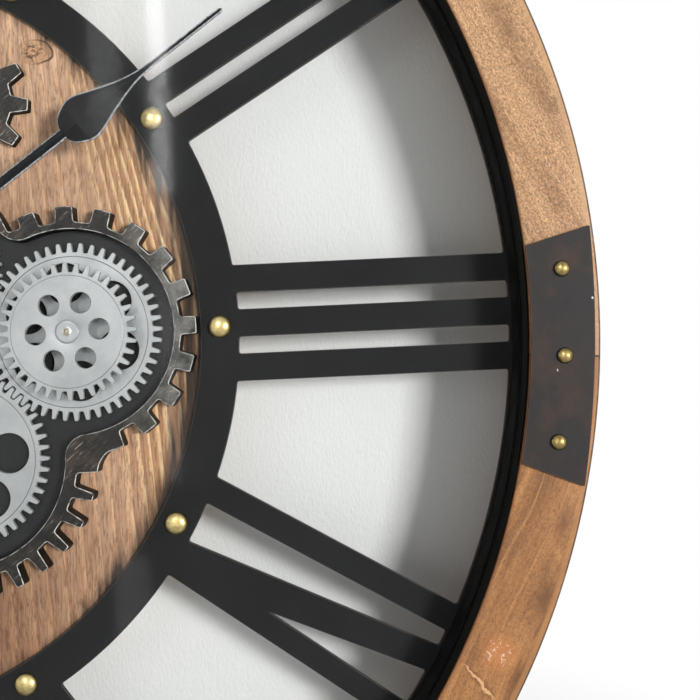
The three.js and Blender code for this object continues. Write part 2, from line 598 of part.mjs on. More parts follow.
// Axle pins in the board, each with a flat head in front of its gear, and the drive shaft from behind
const headedPin = (back, seat) => {
  const points = [
    [0, back],
    [AXLE_RADIUS, back],
    [AXLE_RADIUS, seat],
    [AXLE_HEAD_RADIUS, seat],
    [AXLE_HEAD_RADIUS, seat + AXLE_HEAD_HEIGHT],
    [0, seat + AXLE_HEAD_HEIGHT],
  ].map(([r, z]) => new THREE.Vector2(r, z));
  return new THREE.LatheGeometry(points, PIN_SEGMENTS).rotateX(Math.PI / 2);
};
const axleBack = boardFront - AXLE_DEPTH;
Object.entries(axleSpots).forEach(([side, spot]) => {
  const seat = (side === 'right' ? smallGearFront : gearFront) + SEAT;
  place(`axle_${side}`, headedPin(axleBack, seat), STEEL, spot.x, spot.y);
});
place('drive_shaft', headedPin(caseFront - ARBOR_DEPTH, gearFront + SEAT), STEEL, lowerGear.x, lowerGear.y);

// Hands: a spade on a slim stem, with a round eye
const handOutline = (length) => {
  const spade = length - SPADE_LENGTH;
  const stem = HAND_STEM_WIDTH / 2;
  const eyeMeet = THREE.MathUtils.radToDeg(Math.acos(stem / HAND_EYE_RADIUS));
  const right = [
    [stem, spade],
    ...SPADE_CURVE.map(([wide, along]) => [SPADE_HALF_WIDTH * wide, spade + SPADE_LENGTH * along]),
    [HAND_TIP_HALF_WIDTH, length],
  ].map(([x, y]) => new THREE.Vector2(x, y));
  const left = right.map((point) => new THREE.Vector2(-point.x, point.y)).reverse();
  return [...right, ...left, ...arc(HAND_EYE_RADIUS, 180 - eyeMeet, 360 + eyeMeet, 4 * ARC_STEPS)];
};
const hand = (length, boreRadius, back, turn) =>
  extrude(handOutline(length), back, back + HAND_THICKNESS, [circle(boreRadius, PIN_SEGMENTS)])
    .rotateZ(-radians(turn));
place('hour_hand', hand(HOUR_LENGTH, PIPE_RADIUS + FIT, hourBack, HOUR_TURN), HAND_BLACK);
place('minute_hand', hand(MINUTE_LENGTH, ARBOR_RADIUS + FIT, minuteBack, MINUTE_TURN), HAND_BLACK);

// Hand cap, minute arbor and hour pipe, one inside the other
const capBore = circle(ARBOR_RADIUS + FIT, PIN_SEGMENTS);
const capShell = cut(toSolid(extrude(circle(CAP_RADIUS, HOLE_SEGMENTS), capBack, capFront)), [
  extrude(capBore, capBack - SEAT, capBack + CAP_HEIGHT / 2),
]);
place('hand_cap', toGeometry(capShell), HAND_BLACK);
const arborFront = capBack + CAP_HEIGHT / 2 - SEAT;
const arborOutline = circle(ARBOR_RADIUS, PIN_SEGMENTS);
place('minute_arbor', extrude(arborOutline, caseFront - ARBOR_DEPTH, arborFront), STEEL);
const pipeFront = hourFront + SEAT;
const pipeBore = circle(ARBOR_RADIUS + FIT, PIN_SEGMENTS);
const pipeOutline = circle(PIPE_RADIUS, PIN_SEGMENTS);
place('hour_pipe', extrude(pipeOutline, caseFront - PIPE_DEPTH, pipeFront, [pipeBore]), BRASS);

// Quartz movement and gear drive: each a case with a bay at the back for one cell
const bayLength = CELL_LENGTH + CELL_TIP + 2 * FIT;
const bayHeight = 2 * (CELL_RADIUS + FIT);
const bayCentre = new THREE.Vector2(0, CASE_SIDE_WALL + bayHeight / 2 - CASE_HEIGHT / 2);
const bayCut = () => extrude(rectangle(bayLength, bayHeight, bayCentre), caseBack - SEAT, bayFront);
const caseBlock = () => extrude(rectangle(bayLength + 2 * CASE_SIDE_WALL, CASE_HEIGHT), caseBack, caseFront);
const shaftBore = (radius, depth) =>
  extrude(circle(radius + FIT, PIN_SEGMENTS), caseFront - depth - SEAT, bushFront + SEAT);
const knobSpot = new THREE.Vector2(bayLength / 2 + CASE_SIDE_WALL - KNOB_EDGE, CASE_HEIGHT / 2 - KNOB_EDGE);
const knobBoreOutline = circle(KNOB_STEM_RADIUS + FIT, PIN_SEGMENTS, knobSpot);
const knobBore = extrude(knobBoreOutline, caseBack - SEAT, caseBack + KNOB_STEM_LENGTH + SEAT);
const bush = extrude(circle(BUSH_RADIUS, HOLE_SEGMENTS), bayFront, bushFront);
const movement = cut(join([caseBlock(), bush]), [
  bayCut(), shaftBore(PIPE_RADIUS, PIPE_DEPTH), shaftBore(ARBOR_RADIUS, ARBOR_DEPTH), knobBore,
]);
place('movement_case', toGeometry(movement), BLACK_PLASTIC);
const drive = cut(toSolid(caseBlock()), [bayCut(), shaftBore(AXLE_RADIUS, ARBOR_DEPTH)]);
place('drive_case', toGeometry(drive), BLACK_PLASTIC, lowerGear.x, lowerGear.y);

const cellGeometry = () => {
  const half = (CELL_LENGTH + CELL_TIP) / 2;
  const points = [
    [0, -half],
    [CELL_RADIUS, -half],
    [CELL_RADIUS, half - CELL_TIP],
    [CELL_TIP_RADIUS, half - CELL_TIP],
    [CELL_TIP_RADIUS, half],
    [0, half],
  ].map(([r, y]) => new THREE.Vector2(r, y));
  return new THREE.LatheGeometry(points, 2 * PIN_SEGMENTS).rotateZ(-Math.PI / 2);
};
const cellDepth = bayFront - FIT - CELL_RADIUS;
place('clock_cell', cellGeometry(), CELL_JACKET, bayCentre.x, bayCentre.y, cellDepth);
const driveBay = bayCentre.clone().add(lowerGear);
place('drive_cell', cellGeometry(), CELL_JACKET, driveBay.x, driveBay.y, cellDepth);

const knobPoints = [
  [0, -KNOB_HEIGHT],
  [KNOB_RADIUS, -KNOB_HEIGHT],
  [KNOB_RADIUS, 0],
  [KNOB_STEM_RADIUS, 0],
  [KNOB_STEM_RADIUS, KNOB_STEM_LENGTH + SEAT],
  [0, KNOB_STEM_LENGTH + SEAT],
].map(([r, z]) => new THREE.Vector2(r, z));
const knob = new THREE.LatheGeometry(knobPoints, HOLE_SEGMENTS).rotateX(Math.PI / 2);
place('setting_knob', knob, BLACK_PLASTIC, knobSpot.x, knobSpot.y, caseBack - SEAT);

place('fixing_nut', extrude(circle(NUT_RADIUS, NUT_SIDES), nutBack, nutBack + NUT_HEIGHT, [bushHole]), BRASS);

// Glass, held by a rubber gasket that stands on the dial's outer ring
const gasketOuter = rimInner - RING_FIT;
const grooveRadius = gasketOuter - GASKET_WALL;
const lipRadius = grooveRadius - GASKET_LIP;
place('glass', extrude(rimCircle(grooveRadius - RING_FIT), glassBack, glassFront), CLEAR_GLASS);
const gasketFront = glassFront + SEAT + GLASS_INSET / 2;
const gasket = join([
  extrude(rimCircle(gasketOuter), dialFront + SEAT, gasketFront, [rimCircle(grooveRadius)]),
  extrude(rimCircle(gasketOuter), glassFront + SEAT, gasketFront, [rimCircle(lipRadius)]),
  extrude(rimCircle(gasketOuter), dialFront + SEAT, glassBack - SEAT, [rimCircle(lipRadius)]),
]);
place('glass_gasket', toGeometry(gasket), RUBBER);

// Stand the face upright, looking along -Y, with the origin half way through the depth
face.rotation.x = Math.PI / 2;
face.position.y = totalDepth / 2;
const clock = new THREE.Group();
clock.add(face);

export default clock;
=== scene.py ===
import json
import math

import bmesh
import bpy
from mathutils import Matrix, Vector, geometry


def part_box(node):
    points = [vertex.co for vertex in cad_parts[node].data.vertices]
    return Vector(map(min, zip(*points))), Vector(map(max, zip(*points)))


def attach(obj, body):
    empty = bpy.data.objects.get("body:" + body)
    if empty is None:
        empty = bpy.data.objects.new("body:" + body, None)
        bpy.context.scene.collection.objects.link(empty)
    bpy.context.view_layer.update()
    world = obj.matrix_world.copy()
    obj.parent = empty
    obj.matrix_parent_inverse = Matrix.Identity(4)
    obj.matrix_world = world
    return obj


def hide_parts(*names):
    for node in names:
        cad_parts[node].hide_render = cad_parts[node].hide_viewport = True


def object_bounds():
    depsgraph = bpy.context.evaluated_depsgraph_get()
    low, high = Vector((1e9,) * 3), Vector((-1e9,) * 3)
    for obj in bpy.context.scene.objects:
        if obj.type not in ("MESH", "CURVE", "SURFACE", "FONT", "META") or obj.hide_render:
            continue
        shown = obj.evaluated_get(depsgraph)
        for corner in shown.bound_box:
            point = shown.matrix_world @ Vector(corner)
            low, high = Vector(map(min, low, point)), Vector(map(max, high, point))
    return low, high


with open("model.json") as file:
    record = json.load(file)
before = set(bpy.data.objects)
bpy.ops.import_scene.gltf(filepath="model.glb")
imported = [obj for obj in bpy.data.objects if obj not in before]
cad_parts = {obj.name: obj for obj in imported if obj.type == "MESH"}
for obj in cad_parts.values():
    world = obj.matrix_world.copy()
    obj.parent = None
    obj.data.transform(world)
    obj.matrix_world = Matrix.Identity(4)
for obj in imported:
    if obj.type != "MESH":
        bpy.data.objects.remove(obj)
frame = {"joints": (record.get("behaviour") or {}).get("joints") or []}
cad_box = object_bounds()

# Camera: a plain lens close to the right half of the face, square to it.
# It leans a little, so the clock stands turned against the picture's edges.
MM = 0.001
LENS = 41.74
CAMERA_RIGHT = 275.9 * MM
CAMERA_AWAY = 400 * MM
CAMERA_DOWN = 15.8 * MM
CAMERA_LEAN = math.radians(-2.4)
scene = bpy.context.scene


def placed(name, data):
    made = bpy.data.objects.new(name, data)
    scene.collection.objects.link(made)
    return made


camera_data = bpy.data.cameras.new("front_camera")
camera_data.sensor_width = 36
camera_data.lens = LENS
camera_data.clip_start = 0.01
camera = placed("front_camera", camera_data)
rim_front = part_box("rim_upper_right")[0].y
camera_place = Matrix.Translation((CAMERA_RIGHT, rim_front - CAMERA_AWAY, -CAMERA_DOWN))
upright = Matrix.Rotation(math.pi / 2, 4, "X")
camera.matrix_world = camera_place @ upright @ Matrix.Rotation(CAMERA_LEAN, 4, "Z")
scene.camera = camera

# Rim: four sawn quarters of oiled hardwood, butted end to end.
# The front edges are eased by hand, and the outer side is dark brown.


def paint(red, green, blue):
    """A colour picked on a screen, as the linear value that a shader takes."""
    return tuple(((c / 255 + 0.055) / 1.055) ** 2.4 for c in (red, green, blue)) + (1.0,)


def node(tree, kind, inputs=None, **settings):
    """A node of a shader or geometry tree. Its inputs are sockets, values, or colours of three numbers."""
    made = tree.nodes.new(kind if "Node" in kind else "ShaderNode" + kind)
    for key, value in settings.items():
        setattr(made, key, value)
    for key, value in (inputs or {}).items():
        if isinstance(value, bpy.types.NodeSocket):
            tree.links.new(value, made.inputs[key])
        elif made.inputs[key].type == "RGBA" and len(value) == 3:
            made.inputs[key].default_value = paint(*value)
        else:
            made.inputs[key].default_value = value
    return made


def tree_of(*values):
    """The node tree of the first socket among the values."""
    return next(value.id_data for value in values if isinstance(value, bpy.types.NodeSocket))


def mix(share, first, second, mode="MIX"):
    inputs = {0: share, 6: first, 7: second}
    made = node(tree_of(share, first, second), "Mix", inputs, data_type="RGBA", blend_type=mode)
    return made.outputs[2]


def calc(operation, first, second=0.0):
    inputs = {0: first, 1: second}
    return node(tree_of(first, second), "Math", inputs, operation=operation).outputs[0]


def times(first, second):
    return calc("MULTIPLY", first, second)


def plus(first, second):
    return calc("ADD", first, second)


def vector(operation, *values):
    made = node(tree_of(*values), "VectorMath", dict(enumerate(values)), operation=operation)
    return made.outputs["Value" if operation == "LENGTH" else 0]


def axes(where):
    return node(where.id_data, "SeparateXYZ", {0: where}).outputs


def ramp(value, *stops):
    made = node(value.id_data, "ValToRGB", {0: value})
    elements = made.color_ramp.elements
    while len(elements) < len(stops):
        elements.new(1.0)
    for element, (place, tone) in zip(elements, stops):
        element.position = place
        element.color = paint(*tone) if isinstance(tone, tuple) else (tone, tone, tone, 1.0)
    return made.outputs[0]


def shade(value, first, last):
    """A change from first to last over the range that noise mostly keeps to."""
    return ramp(value, (0.3, first), (0.7, last))


def fade(value, start, end, first, last):
    """An even change from first to last while the value goes from start to end."""
    return node(value.id_data, "MapRange", {0: value, 1: start, 2: end, 3: first, 4: last}).outputs[0]


def noise(where, scale, detail=4.0, rough=0.55, warp=0.0):
    inputs = {"Vector": where, "Scale": scale, "Detail": detail, "Roughness": rough, "Distortion": warp}
    return node(where.id_data, "TexNoise", inputs).outputs[0]


def stretch(where, scale, turn=(0, 0, 0), shift=(0, 0, 0)):
    return node(where.id_data, "Mapping", {0: where, 1: shift, 2: turn, 3: scale}).outputs[0]


def drawn(where, scale, detail, rough, shift=(0, 0, 0)):
    """Noise drawn out along the grain."""
    return noise(stretch(where, scale, shift=shift), 1.0, detail, rough)


def bump(height, distance, strength):
    inputs = {"Strength": strength, "Distance": distance, "Height": height}
    return node(height.id_data, "Bump", inputs).outputs[0]


def finish(name, **plain):
    """A new material, its surface with plain values set on it, and the coordinates of the object."""
    made = bpy.data.materials.new(name)
    made.use_nodes = True
    surface = made.node_tree.nodes["Principled BSDF"]
    for key, value in plain.items():
        surface.inputs[key.replace("_", " ").title().replace("Ior", "IOR")].default_value = value
    return made, surface, node(made.node_tree, "TexCoord").outputs["Object"]


def wear(surface, colour=None, roughness=None, normal=None):
    for key, value in (("Base Color", colour), ("Roughness", roughness), ("Normal", normal)):
        if value is not None:
            surface.id_data.links.new(value, surface.inputs[key])


def turning(loop, i):
    """How far the outline turns at a corner, in degrees."""
    before = loop[i] - loop[i - 1]
    after = loop[(i + 1) % len(loop)] - loop[i]
    return abs(math.degrees(before.angle_signed(after, 0)))


def rounded(loop, radius, steps=4, sharp=25):
    """The closed outline with its sharp corners turned into arcs of about that radius."""
    points = [Vector(p) for p in loop]
    count = len(points)
    corners = [i for i in range(count) if turning(points, i) > sharp]
    corner_set = set(corners)
    room = 1.3 * radius
    kept = [
        i for i in range(count)
        if i in corner_set or all((points[i] - points[c]).length > room for c in corners)
    ]
    out = []
    for k, i in enumerate(kept):
        here = points[i]
        if i not in corner_set:
            out.append(here)
            continue
        back = points[kept[k - 1]] - here
        ahead = points[kept[(k + 1) % len(kept)]] - here
        half = back.angle(ahead) / 2
        trim = min(radius / math.tan(half), 1.3 * radius, 0.49 * back.length, 0.49 * ahead.length)
        start = here + back.normalized() * trim
        end = here + ahead.normalized() * trim
        for s in range(steps + 1):
            t = s / steps
            out.append(start.lerp(here, t).lerp(here.lerp(end, t), t))
    return out


def skinned(bm, rings, first=0):
    """Quads from each ring to the next. With first at 1, the rings are open lines."""
    for one, two in zip(rings, rings[1:]):
        for i in range(first, len(one)):
            bm.faces.new((one[i - 1], one[i], two[i], two[i - 1]))


def turned(bm, profile, centre=(0, 0), start=0.0, end=360.0, steps=96):
    """A ring or arc swept round an axis along Y: profile points are radius and depth, in millimetres."""
    whole = end - start >= 360
    rings = []
    for i in range(steps + (not whole)):
        angle = math.radians(start + (end - start) * i / steps)
        across, up = math.cos(angle), math.sin(angle)
        rings.append([
            bm.verts.new(((centre[0] + r * across) * MM, y * MM, (centre[1] + r * up) * MM))
            for r, y in profile
        ])
    skinned(bm, rings + rings[:1] if whole else rings)
    if not whole:
        bm.faces.new(rings[0])
        bm.faces.new(rings[-1])


def piece(name, bm, materials, nodes=(), body="clock_case", sharp=30):
    """Closes the mesh into a named piece that rides on a body and stands for CAD nodes."""
    bmesh.ops.remove_doubles(bm, verts=bm.verts, dist=0.002 * MM)
    bmesh.ops.recalc_face_normals(bm, faces=bm.faces)
    mesh = bpy.data.meshes.new(name)
    bm.to_mesh(mesh)
    bm.free()
    mesh.shade_smooth()
    mesh.set_sharp_from_angle(angle=math.radians(sharp))
    for material in materials:
        mesh.materials.append(material)
    made = placed(name, mesh)
    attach(made, body)
    if nodes:
        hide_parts(*nodes)


def carved(bm, blocks):
    """The mesh with boxes cut out of it. A box is two opposite corners, in metres."""
    cutter = bmesh.new()
    for low, high in blocks:
        size = Matrix.Diagonal(high - low).to_4x4()
        bmesh.ops.create_cube(cutter, size=1, matrix=Matrix.Translation((low + high) / 2) @ size)
    loose = []
    for source in (bm, cutter):
        bmesh.ops.recalc_face_normals(source, faces=source.faces)
        mesh = bpy.data.meshes.new("carving")
        source.to_mesh(mesh)
        source.free()
        loose.append(placed("carving", mesh))
    cut = loose[0].modifiers.new("cut", "BOOLEAN")
    cut.object = loose[1]
    cut.use_self = True
    out = bmesh.new()
    out.from_object(loose[0], bpy.context.evaluated_depsgraph_get())
    for made in loose:
        bpy.data.objects.remove(made)
    return out


def depths(name):
    """Back and front of a CAD node along Y, in millimetres: the front is the lower value."""
    low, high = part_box(name)
    return high.y / MM, low.y / MM


def from_axis(where):
    """How far the place is from the clock's axis."""
    return vector("LENGTH", stretch(where, (1, 0, 1)))


def scarred(where, colour, start, end, knot):
    """A healed crack from start to end, and a small pale burl beside it."""
    turn = math.atan2(end[1] - start[1], end[0] - start[0])
    first = Matrix.Rotation(-turn, 2) @ Vector(start) * MM
    length = math.dist(start, end) * MM
    local = stretch(where, (1, 1, 1), turn=(0, turn, 0), shift=(-first.x, 0, -first.y))
    split = axes(local)
    shake = times(calc("SUBTRACT", noise(where, 190, 3, 0.6), 0.5), 0.006)
    across = calc("ABSOLUTE", plus(split[2], shake))
    begun = fade(split[0], 0.0, 0.003, 0.0, 1.0)
    inside = times(begun, fade(split[0], length, length + 0.004, 1.0, 0.0))
    flank = times(fade(across, 0.0009, 0.0021, 0.6, 0.0), inside)
    colour = mix(flank, colour, (94, 58, 34))
    seam = times(fade(across, 0.0004, 0.0009, 0.85, 0.0), inside)
    colour = mix(seam, colour, (222, 174, 122))
    burl = stretch(where, (1, 0, 1), shift=(-knot[0] * MM, 0, -knot[1] * MM))
    far = vector("LENGTH", burl)
    colour = mix(fade(far, 0.003, 0.011, 0.55, 0.0), colour, (200, 124, 68))
    worm = ramp(noise(where, 380, 2, 0.6, 1.2), (0.56, 0.0), (0.62, 0.8))
    worm = times(worm, fade(far, 0.004, 0.0085, 1.0, 0.0))
    return mix(worm, colour, (226, 206, 190))


def clouded(where, colour, clouds):
    """Smoky clouds, each with its middle, half length, half width, turn in degrees and strength."""
    ragged = noise(where, 130, 4, 0.65)
    for right, up, reach, half_width, turn, strength in clouds:
        local = stretch(where, (1, 0, 1), shift=(-right * MM, 0, -up * MM))
        local = stretch(local, (1, 1, 1), turn=(0, math.radians(turn), 0))
        local = stretch(local, (1 / (reach * MM), 0, 1 / (half_width * MM)))
        far = vector("LENGTH", local)
        far = plus(far, times(ragged, 1.6))
        colour = mix(fade(far, 0.75, 1.9, strength, 0.0), colour, (98, 62, 36))
    return colour


def rim_wood(name, turn, slant, pale, middle, dark, figure, stain, streak, mottle, clouds=(), scar=None):
    """Straight-grained wood that wanders by figure. stain, streak and mottle are strengths of marks."""
    made, surface, where = finish(name, specular_ior_level=0.3)
    swung = stretch(where, (1, 1, 1), turn=(0, math.radians(turn), 0))
    split = axes(swung)
    radius = from_axis(where)
    angle = calc("ARCTAN2", split[2], split[0])
    grain = stretch(where, (1, 1, 1), turn=(0, math.radians(turn + slant), 0))
    drift = noise(stretch(grain, (2.2, 1, 1)), 9, 2, 0.5).node.outputs["Color"]
    drift = vector("SUBTRACT", drift, (0.5, 0.5, 0.5))
    grain = vector("ADD", grain, vector("MULTIPLY", drift, (figure, figure, 0)))
    bands = drawn(grain, (70, 60, 5), 3, 0.6)
    fibre = drawn(grain, (800, 600, 45), 3, 0.65)
    pores = drawn(grain, (1150, 900, 420), 2, 0.6)
    flecks = drawn(grain, (1250, 1250, 800), 2, 0.6)
    patches = drawn(grain, (55, 20, 20), 3, 0.55, shift=(1, 2, 3))
    sweep = drawn(grain, (75, 60, 4), 2, 0.5, shift=(4, 0, 1))
    lines = calc("ABSOLUTE", calc("SUBTRACT", sweep, 0.5))
    colour = ramp(bands, (0.3, dark), (0.47, middle), (0.68, pale))
    colour = mix(0.3, colour, ramp(fibre, (0.3, dark), (0.6, pale)))
    colour = mix(ramp(lines, (0.004, streak), (0.03, 0.0)), colour, pale)
    outward = ramp(radius, (0.368, 0.3), (0.392, 1.0))
    stained = times(outward, ramp(patches, (0.48, 0.0), (0.58, stain)))
    colour = mix(stained, colour, (98, 68, 46))
    colour = mix(mottle, colour, ramp(flecks, (0.32, 0.2), (0.68, 0.78)), "OVERLAY")
    colour = mix(ramp(pores, (0.56, 0.0), (0.68, 0.55)), colour, dark)
    colour = clouded(where, colour, clouds)
    if scar:
        colour = scarred(where, colour, *scar)
    # A pale band just inside the outer edge is a painted highlight on its eased rounding.
    colour = mix(fade(radius, 0.3958, 0.397, 0.0, 0.55), colour, pale)
    colour = mix(fade(radius, 0.3652, 0.367, 0.6, 0.0), colour, (116, 68, 36))
    # The outer side of the rim is coloured dark brown, with faint fibre.
    dark_outer_side = ramp(fibre, (0.3, (66, 48, 37)), (0.66, (106, 80, 62)))
    colour = mix(calc("GREATER_THAN", radius, 0.3989), colour, dark_outer_side)
    end_grain = calc("GREATER_THAN", calc("ABSOLUTE", angle), math.radians(44.93))
    colour = mix(end_grain, colour, (48, 34, 24))
    gloss = shade(fibre, 0.62, 0.46)
    height = plus(fibre, times(flecks, 0.6))
    wear(surface, colour, gloss, bump(height, 0.00025, 0.15))
    return made


RIM_OUTER = 400
RIM_INNER = 365
RIM_REBATE = 372
FIRST_JOINT = -3.43
JOINT_GAP = 0.3
EASED_EDGE = 1.1
HAIRLINE = 0.01
RIM_SCAR = ((326, -172), (338, -188.5), (343, -168))
UPPER_CLOUDS = ((358, 143, 26, 8, -66, 0.6), (376, 106, 34, 8, -64, 0.55), (352, 96, 12, 5, -70, 0.35))
LOWER_CLOUDS = ((366, -142, 24, 9, 72, 0.85), (378, -105, 13, 6, 75, 0.75), (351, -180, 11, 6, 62, 0.7))
# Slant of the grain, three tones, how far it wanders, and the strength of stains, streaks and mottling.
# The right quarters have smoky clouds too, and the lower one a healed crack.
rim_tones = {
    "rim_upper_right": (
        -13.6, (198, 157, 116), (175, 134, 96), (140, 102, 70), 0.004, 0.4, 0.5, 0.8, UPPER_CLOUDS,
    ),
    "rim_upper_left": (8, (200, 160, 118), (172, 130, 88), (136, 94, 60), 0.01, 0.7, 0.5, 0.6),
    "rim_lower_left": (-10, (196, 154, 110), (168, 124, 82), (132, 90, 56), 0.008, 0.7, 0.5, 0.6),
    "rim_lower_right": (
        23.4, (176, 124, 76), (138, 92, 54), (102, 67, 38), 0.014, 0.6, 0.9, 0.4, LOWER_CLOUDS, RIM_SCAR,
    ),
}
POCKET_FIT = Vector((0.3, 0.3, 0.3)) * MM
KEYHOLE_ROOM = 14 * MM
KEYHOLE_ROOM_DEEP = 8 * MM
plate_low, plate_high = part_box("hanger_plate")
room_low = Vector((-KEYHOLE_ROOM / 2, plate_low.y - KEYHOLE_ROOM_DEEP, plate_low.z))
room_high = Vector((KEYHOLE_ROOM / 2, plate_high.y, plate_high.z))
hanger_pocket = [(plate_low - POCKET_FIT, plate_high + 2 * POCKET_FIT), (room_low, room_high)]
shoulder = depths("dial_plate")[1] - JOINT_GAP
half_gap = math.degrees(HAIRLINE / RIM_OUTER)
for quarter, (rim_name, tone) in enumerate(rim_tones.items()):
    joint = FIRST_JOINT + 90 * quarter
    wood = rim_wood(rim_name + "_wood", joint + 45, *tone)
    back, front = depths(rim_name)
    section = [
        (RIM_OUTER, back),
        (RIM_OUTER, front),
        (RIM_INNER, front),
        (RIM_INNER, shoulder),
        (RIM_REBATE, shoulder),
        (RIM_REBATE, back),
    ]
    bm = bmesh.new()
    turned(bm, rounded(section, EASED_EDGE), (0, 0), joint + half_gap, joint + 90 - half_gap, 90)
    if "upper" in rim_name:
        bm = carved(bm, hanger_pocket)
    piece(rim_name + "_bar", bm, [wood], [rim_name])

# Joint plates: thin sheet steel with a dark patina, cut with flared ends.
# One covers each butt joint of the rim, and its edges are rubbed by handling.


def polar(radius, degrees, centre=(0, 0)):
    angle = math.radians(degrees)
    return Vector((centre[0] + radius * math.cos(angle), centre[1] + radius * math.sin(angle)))


def arc(radius, start, end, steps, centre=(0, 0)):
    return [polar(radius, start + (end - start) * i / steps, centre) for i in range(steps + 1)]


def inset(loop, distance):
    """The outline moved into its material, which lies on its left."""
    out = []
    for i, here in enumerate(loop):
        before = (here - loop[i - 1]).normalized()
        after = (loop[(i + 1) % len(loop)] - here).normalized()
        left = Vector((-before.y - after.y, before.x + after.x))
        reach = max(1 + before.dot(after), 0.3)
        out.append(here + left * (distance / reach))
    return out


def marked(bm, layer_name, places):
    """A row of new points. A place is right, depth, up and the value that the layer keeps for it."""
    layers = bm.verts.layers.float
    layer = layers.get(layer_name) or layers.new(layer_name)
    row = []
    for right, depth, up, value in places:
        vert = bm.verts.new((right * MM, depth * MM, up * MM))
        vert[layer] = value
        row.append(vert)
    return row


def wall(bm, loop, levels):
    """Rings of the outline, joined by quads. A level is a depth, an inset and, if worn, how much."""
    rings = []
    for y, distance, *bare in levels:
        worn = bare[0] if bare else 0.0
        rings.append(marked(bm, "worn", [(p.x, y, p.y, worn) for p in inset(loop, distance)]))
    skinned(bm, rings)
    return rings


def area(loop):
    return sum(loop[i - 1].cross(loop[i]) for i in range(len(loop))) / 2


def covering(outlines):
    """Triangles over the outlines, and for each one the numbers of the outlines that go round it."""
    points = []
    faces = []
    for outline in outlines:
        face = list(range(len(points), len(points) + len(outline)))
        faces.append(face if area(outline) > 0 else face[::-1])
        points.extend(outline)
    corners, _, triangles, origins, _, covers = geometry.delaunay_2d_cdt(points, [], faces, 1, 1e-5, True)
    return corners, triangles, origins, covers


def cap(bm, rings):
    """Flat faces over the part of the plane that an odd number of the rings goes round."""
    flat = [vert for ring in rings for vert in ring]
    outlines = [[Vector((vert.co.x / MM, vert.co.z / MM)) for vert in ring] for ring in rings]
    _, triangles, origins, covers = covering(outlines)
    for triangle, cover in zip(triangles, covers):
        if len(cover) % 2:
            bm.faces.new([flat[origins[i][0]] for i in triangle])


def slab(bm, loops, levels):
    """A plate with that outline and those holes, closed at its first and last level."""
    walls = [wall(bm, loop, levels) for loop in loops]
    cap(bm, [rings[0] for rings in walls])
    cap(bm, [rings[-1] for rings in walls])


def worn_edge(front, ease, start, end, draft=0.0, bare=1.0):
    """Levels over a front edge with a bare chamfer. The wear begins start behind it and ends within end."""
    return [
        (front + start, draft),
        (front + ease, draft, bare),
        (front, draft + ease, bare),
        (front, draft + end),
    ]


def eased(back, front, ease, bare=1.0):
    """Levels of a plate with small chamfers at both faces, the front one worn."""
    return [(back, ease), (back - ease, 0), *worn_edge(front, ease, ease * 1.6, ease * 1.7, bare=bare)]


def bare_edge(where):
    return node(where.id_data, "Attribute", attribute_name="worn").outputs["Fac"]


dark_plate, surface, where = finish("plate_patina", metallic=0.4, specular_ior_level=0.2)
cloudy = noise(where, 38, 5, 0.6)
rusty = noise(stretch(where, (1, 1, 1), shift=(0.3, 0, 0.7)), 62, 4, 0.6)
brushed = drawn(where, (2400, 600, 130), 2, 0.6)
colour = ramp(cloudy, (0.3, (37, 36, 37)), (0.65, (45, 42, 40)))
colour = mix(ramp(rusty, (0.5, 0.0), (0.75, 0.5)), colour, (72, 51, 42))
colour = mix(0.35, colour, shade(brushed, 0.36, 0.6), "SOFT_LIGHT")
nicks = noise(stretch(where, (300, 300, 190), turn=(0, 0.6, 0)), 1.0, 1, 0.4)
colour = mix(ramp(nicks, (0.76, 0.0), (0.79, 0.85)), colour, (196, 194, 190))
rubbed = times(bare_edge(where), ramp(cloudy, (0.4, 0.15), (0.6, 0.7)))
colour = mix(rubbed, colour, (128, 92, 70))
wear(surface, colour, shade(cloudy, 0.44, 0.6), bump(brushed, 0.00005, 0.5))

PLATE_INNER_SPAN = 16.9
PLATE_OUTER_SPAN = 18.6
PLATE_INNER_EDGE = 0.4
PLATE_MIDDLE_EDGE = 3.2
PLATE_CORNER_EDGE = 1.8
PLATE_EASE = 0.22
PLATE_ROUNDING = 0.8
plate_sides = ("right", "top", "left", "bottom")
for quarter, side in enumerate(plate_sides):
    joint = FIRST_JOINT + 90 * quarter
    outer = []
    for i in range(41):
        share = i / 20 - 1
        edge = PLATE_MIDDLE_EDGE + (PLATE_CORNER_EDGE - PLATE_MIDDLE_EDGE) * share**2
        outer.append(polar(RIM_OUTER - edge, joint + share * PLATE_OUTER_SPAN / 2))
    half_span = PLATE_INNER_SPAN / 2
    inner = arc(RIM_INNER + PLATE_INNER_EDGE, joint + half_span, joint - half_span, 36)
    back, front = depths("plate_" + side)
    bm = bmesh.new()
    slab(bm, [rounded(outer + inner, PLATE_ROUNDING)], eased(back + JOINT_GAP, front, PLATE_EASE))
    piece(f"joint_plate_{side}", bm, [dark_plate], ["plate_" + side])

# Tacks: pressed brass domes, small on the plates and large on the dial.
# Each sits flat on the metal that it holds. Each dome is painted darker towards its foot, where its sides
# turn away from the front: painted shade.


def frontal(where):
    """1 on a face that looks to the front, 0 on one that looks aside."""
    return times(axes(node(where.id_data, "NewGeometry").outputs["Normal"])[1], -1.0)


def brass_finish(name, pale, deep, foot):
    made, surface, where = finish(name, metallic=0.9)
    dull = noise(where, 420, 4, 0.65)
    # Faces that turn away from the front take the foot colour: painted shade on the sides of the dome.
    unshaded_crown = ramp(frontal(where), (0.2, 0.0), (0.85, 1.0))
    colour = ramp(dull, (0.32, deep), (0.62, pale))
    colour = mix(unshaded_crown, foot, colour)
    wear(surface, colour, shade(dull, 0.42, 0.32), bump(dull, 0.00008, 0.4))
    return made


brass = brass_finish("satin_brass", (204, 186, 132), (160, 140, 88), (96, 82, 48))
dark_brass = brass_finish("antique_brass", (154, 135, 87), (106, 90, 52), (40, 33, 18))

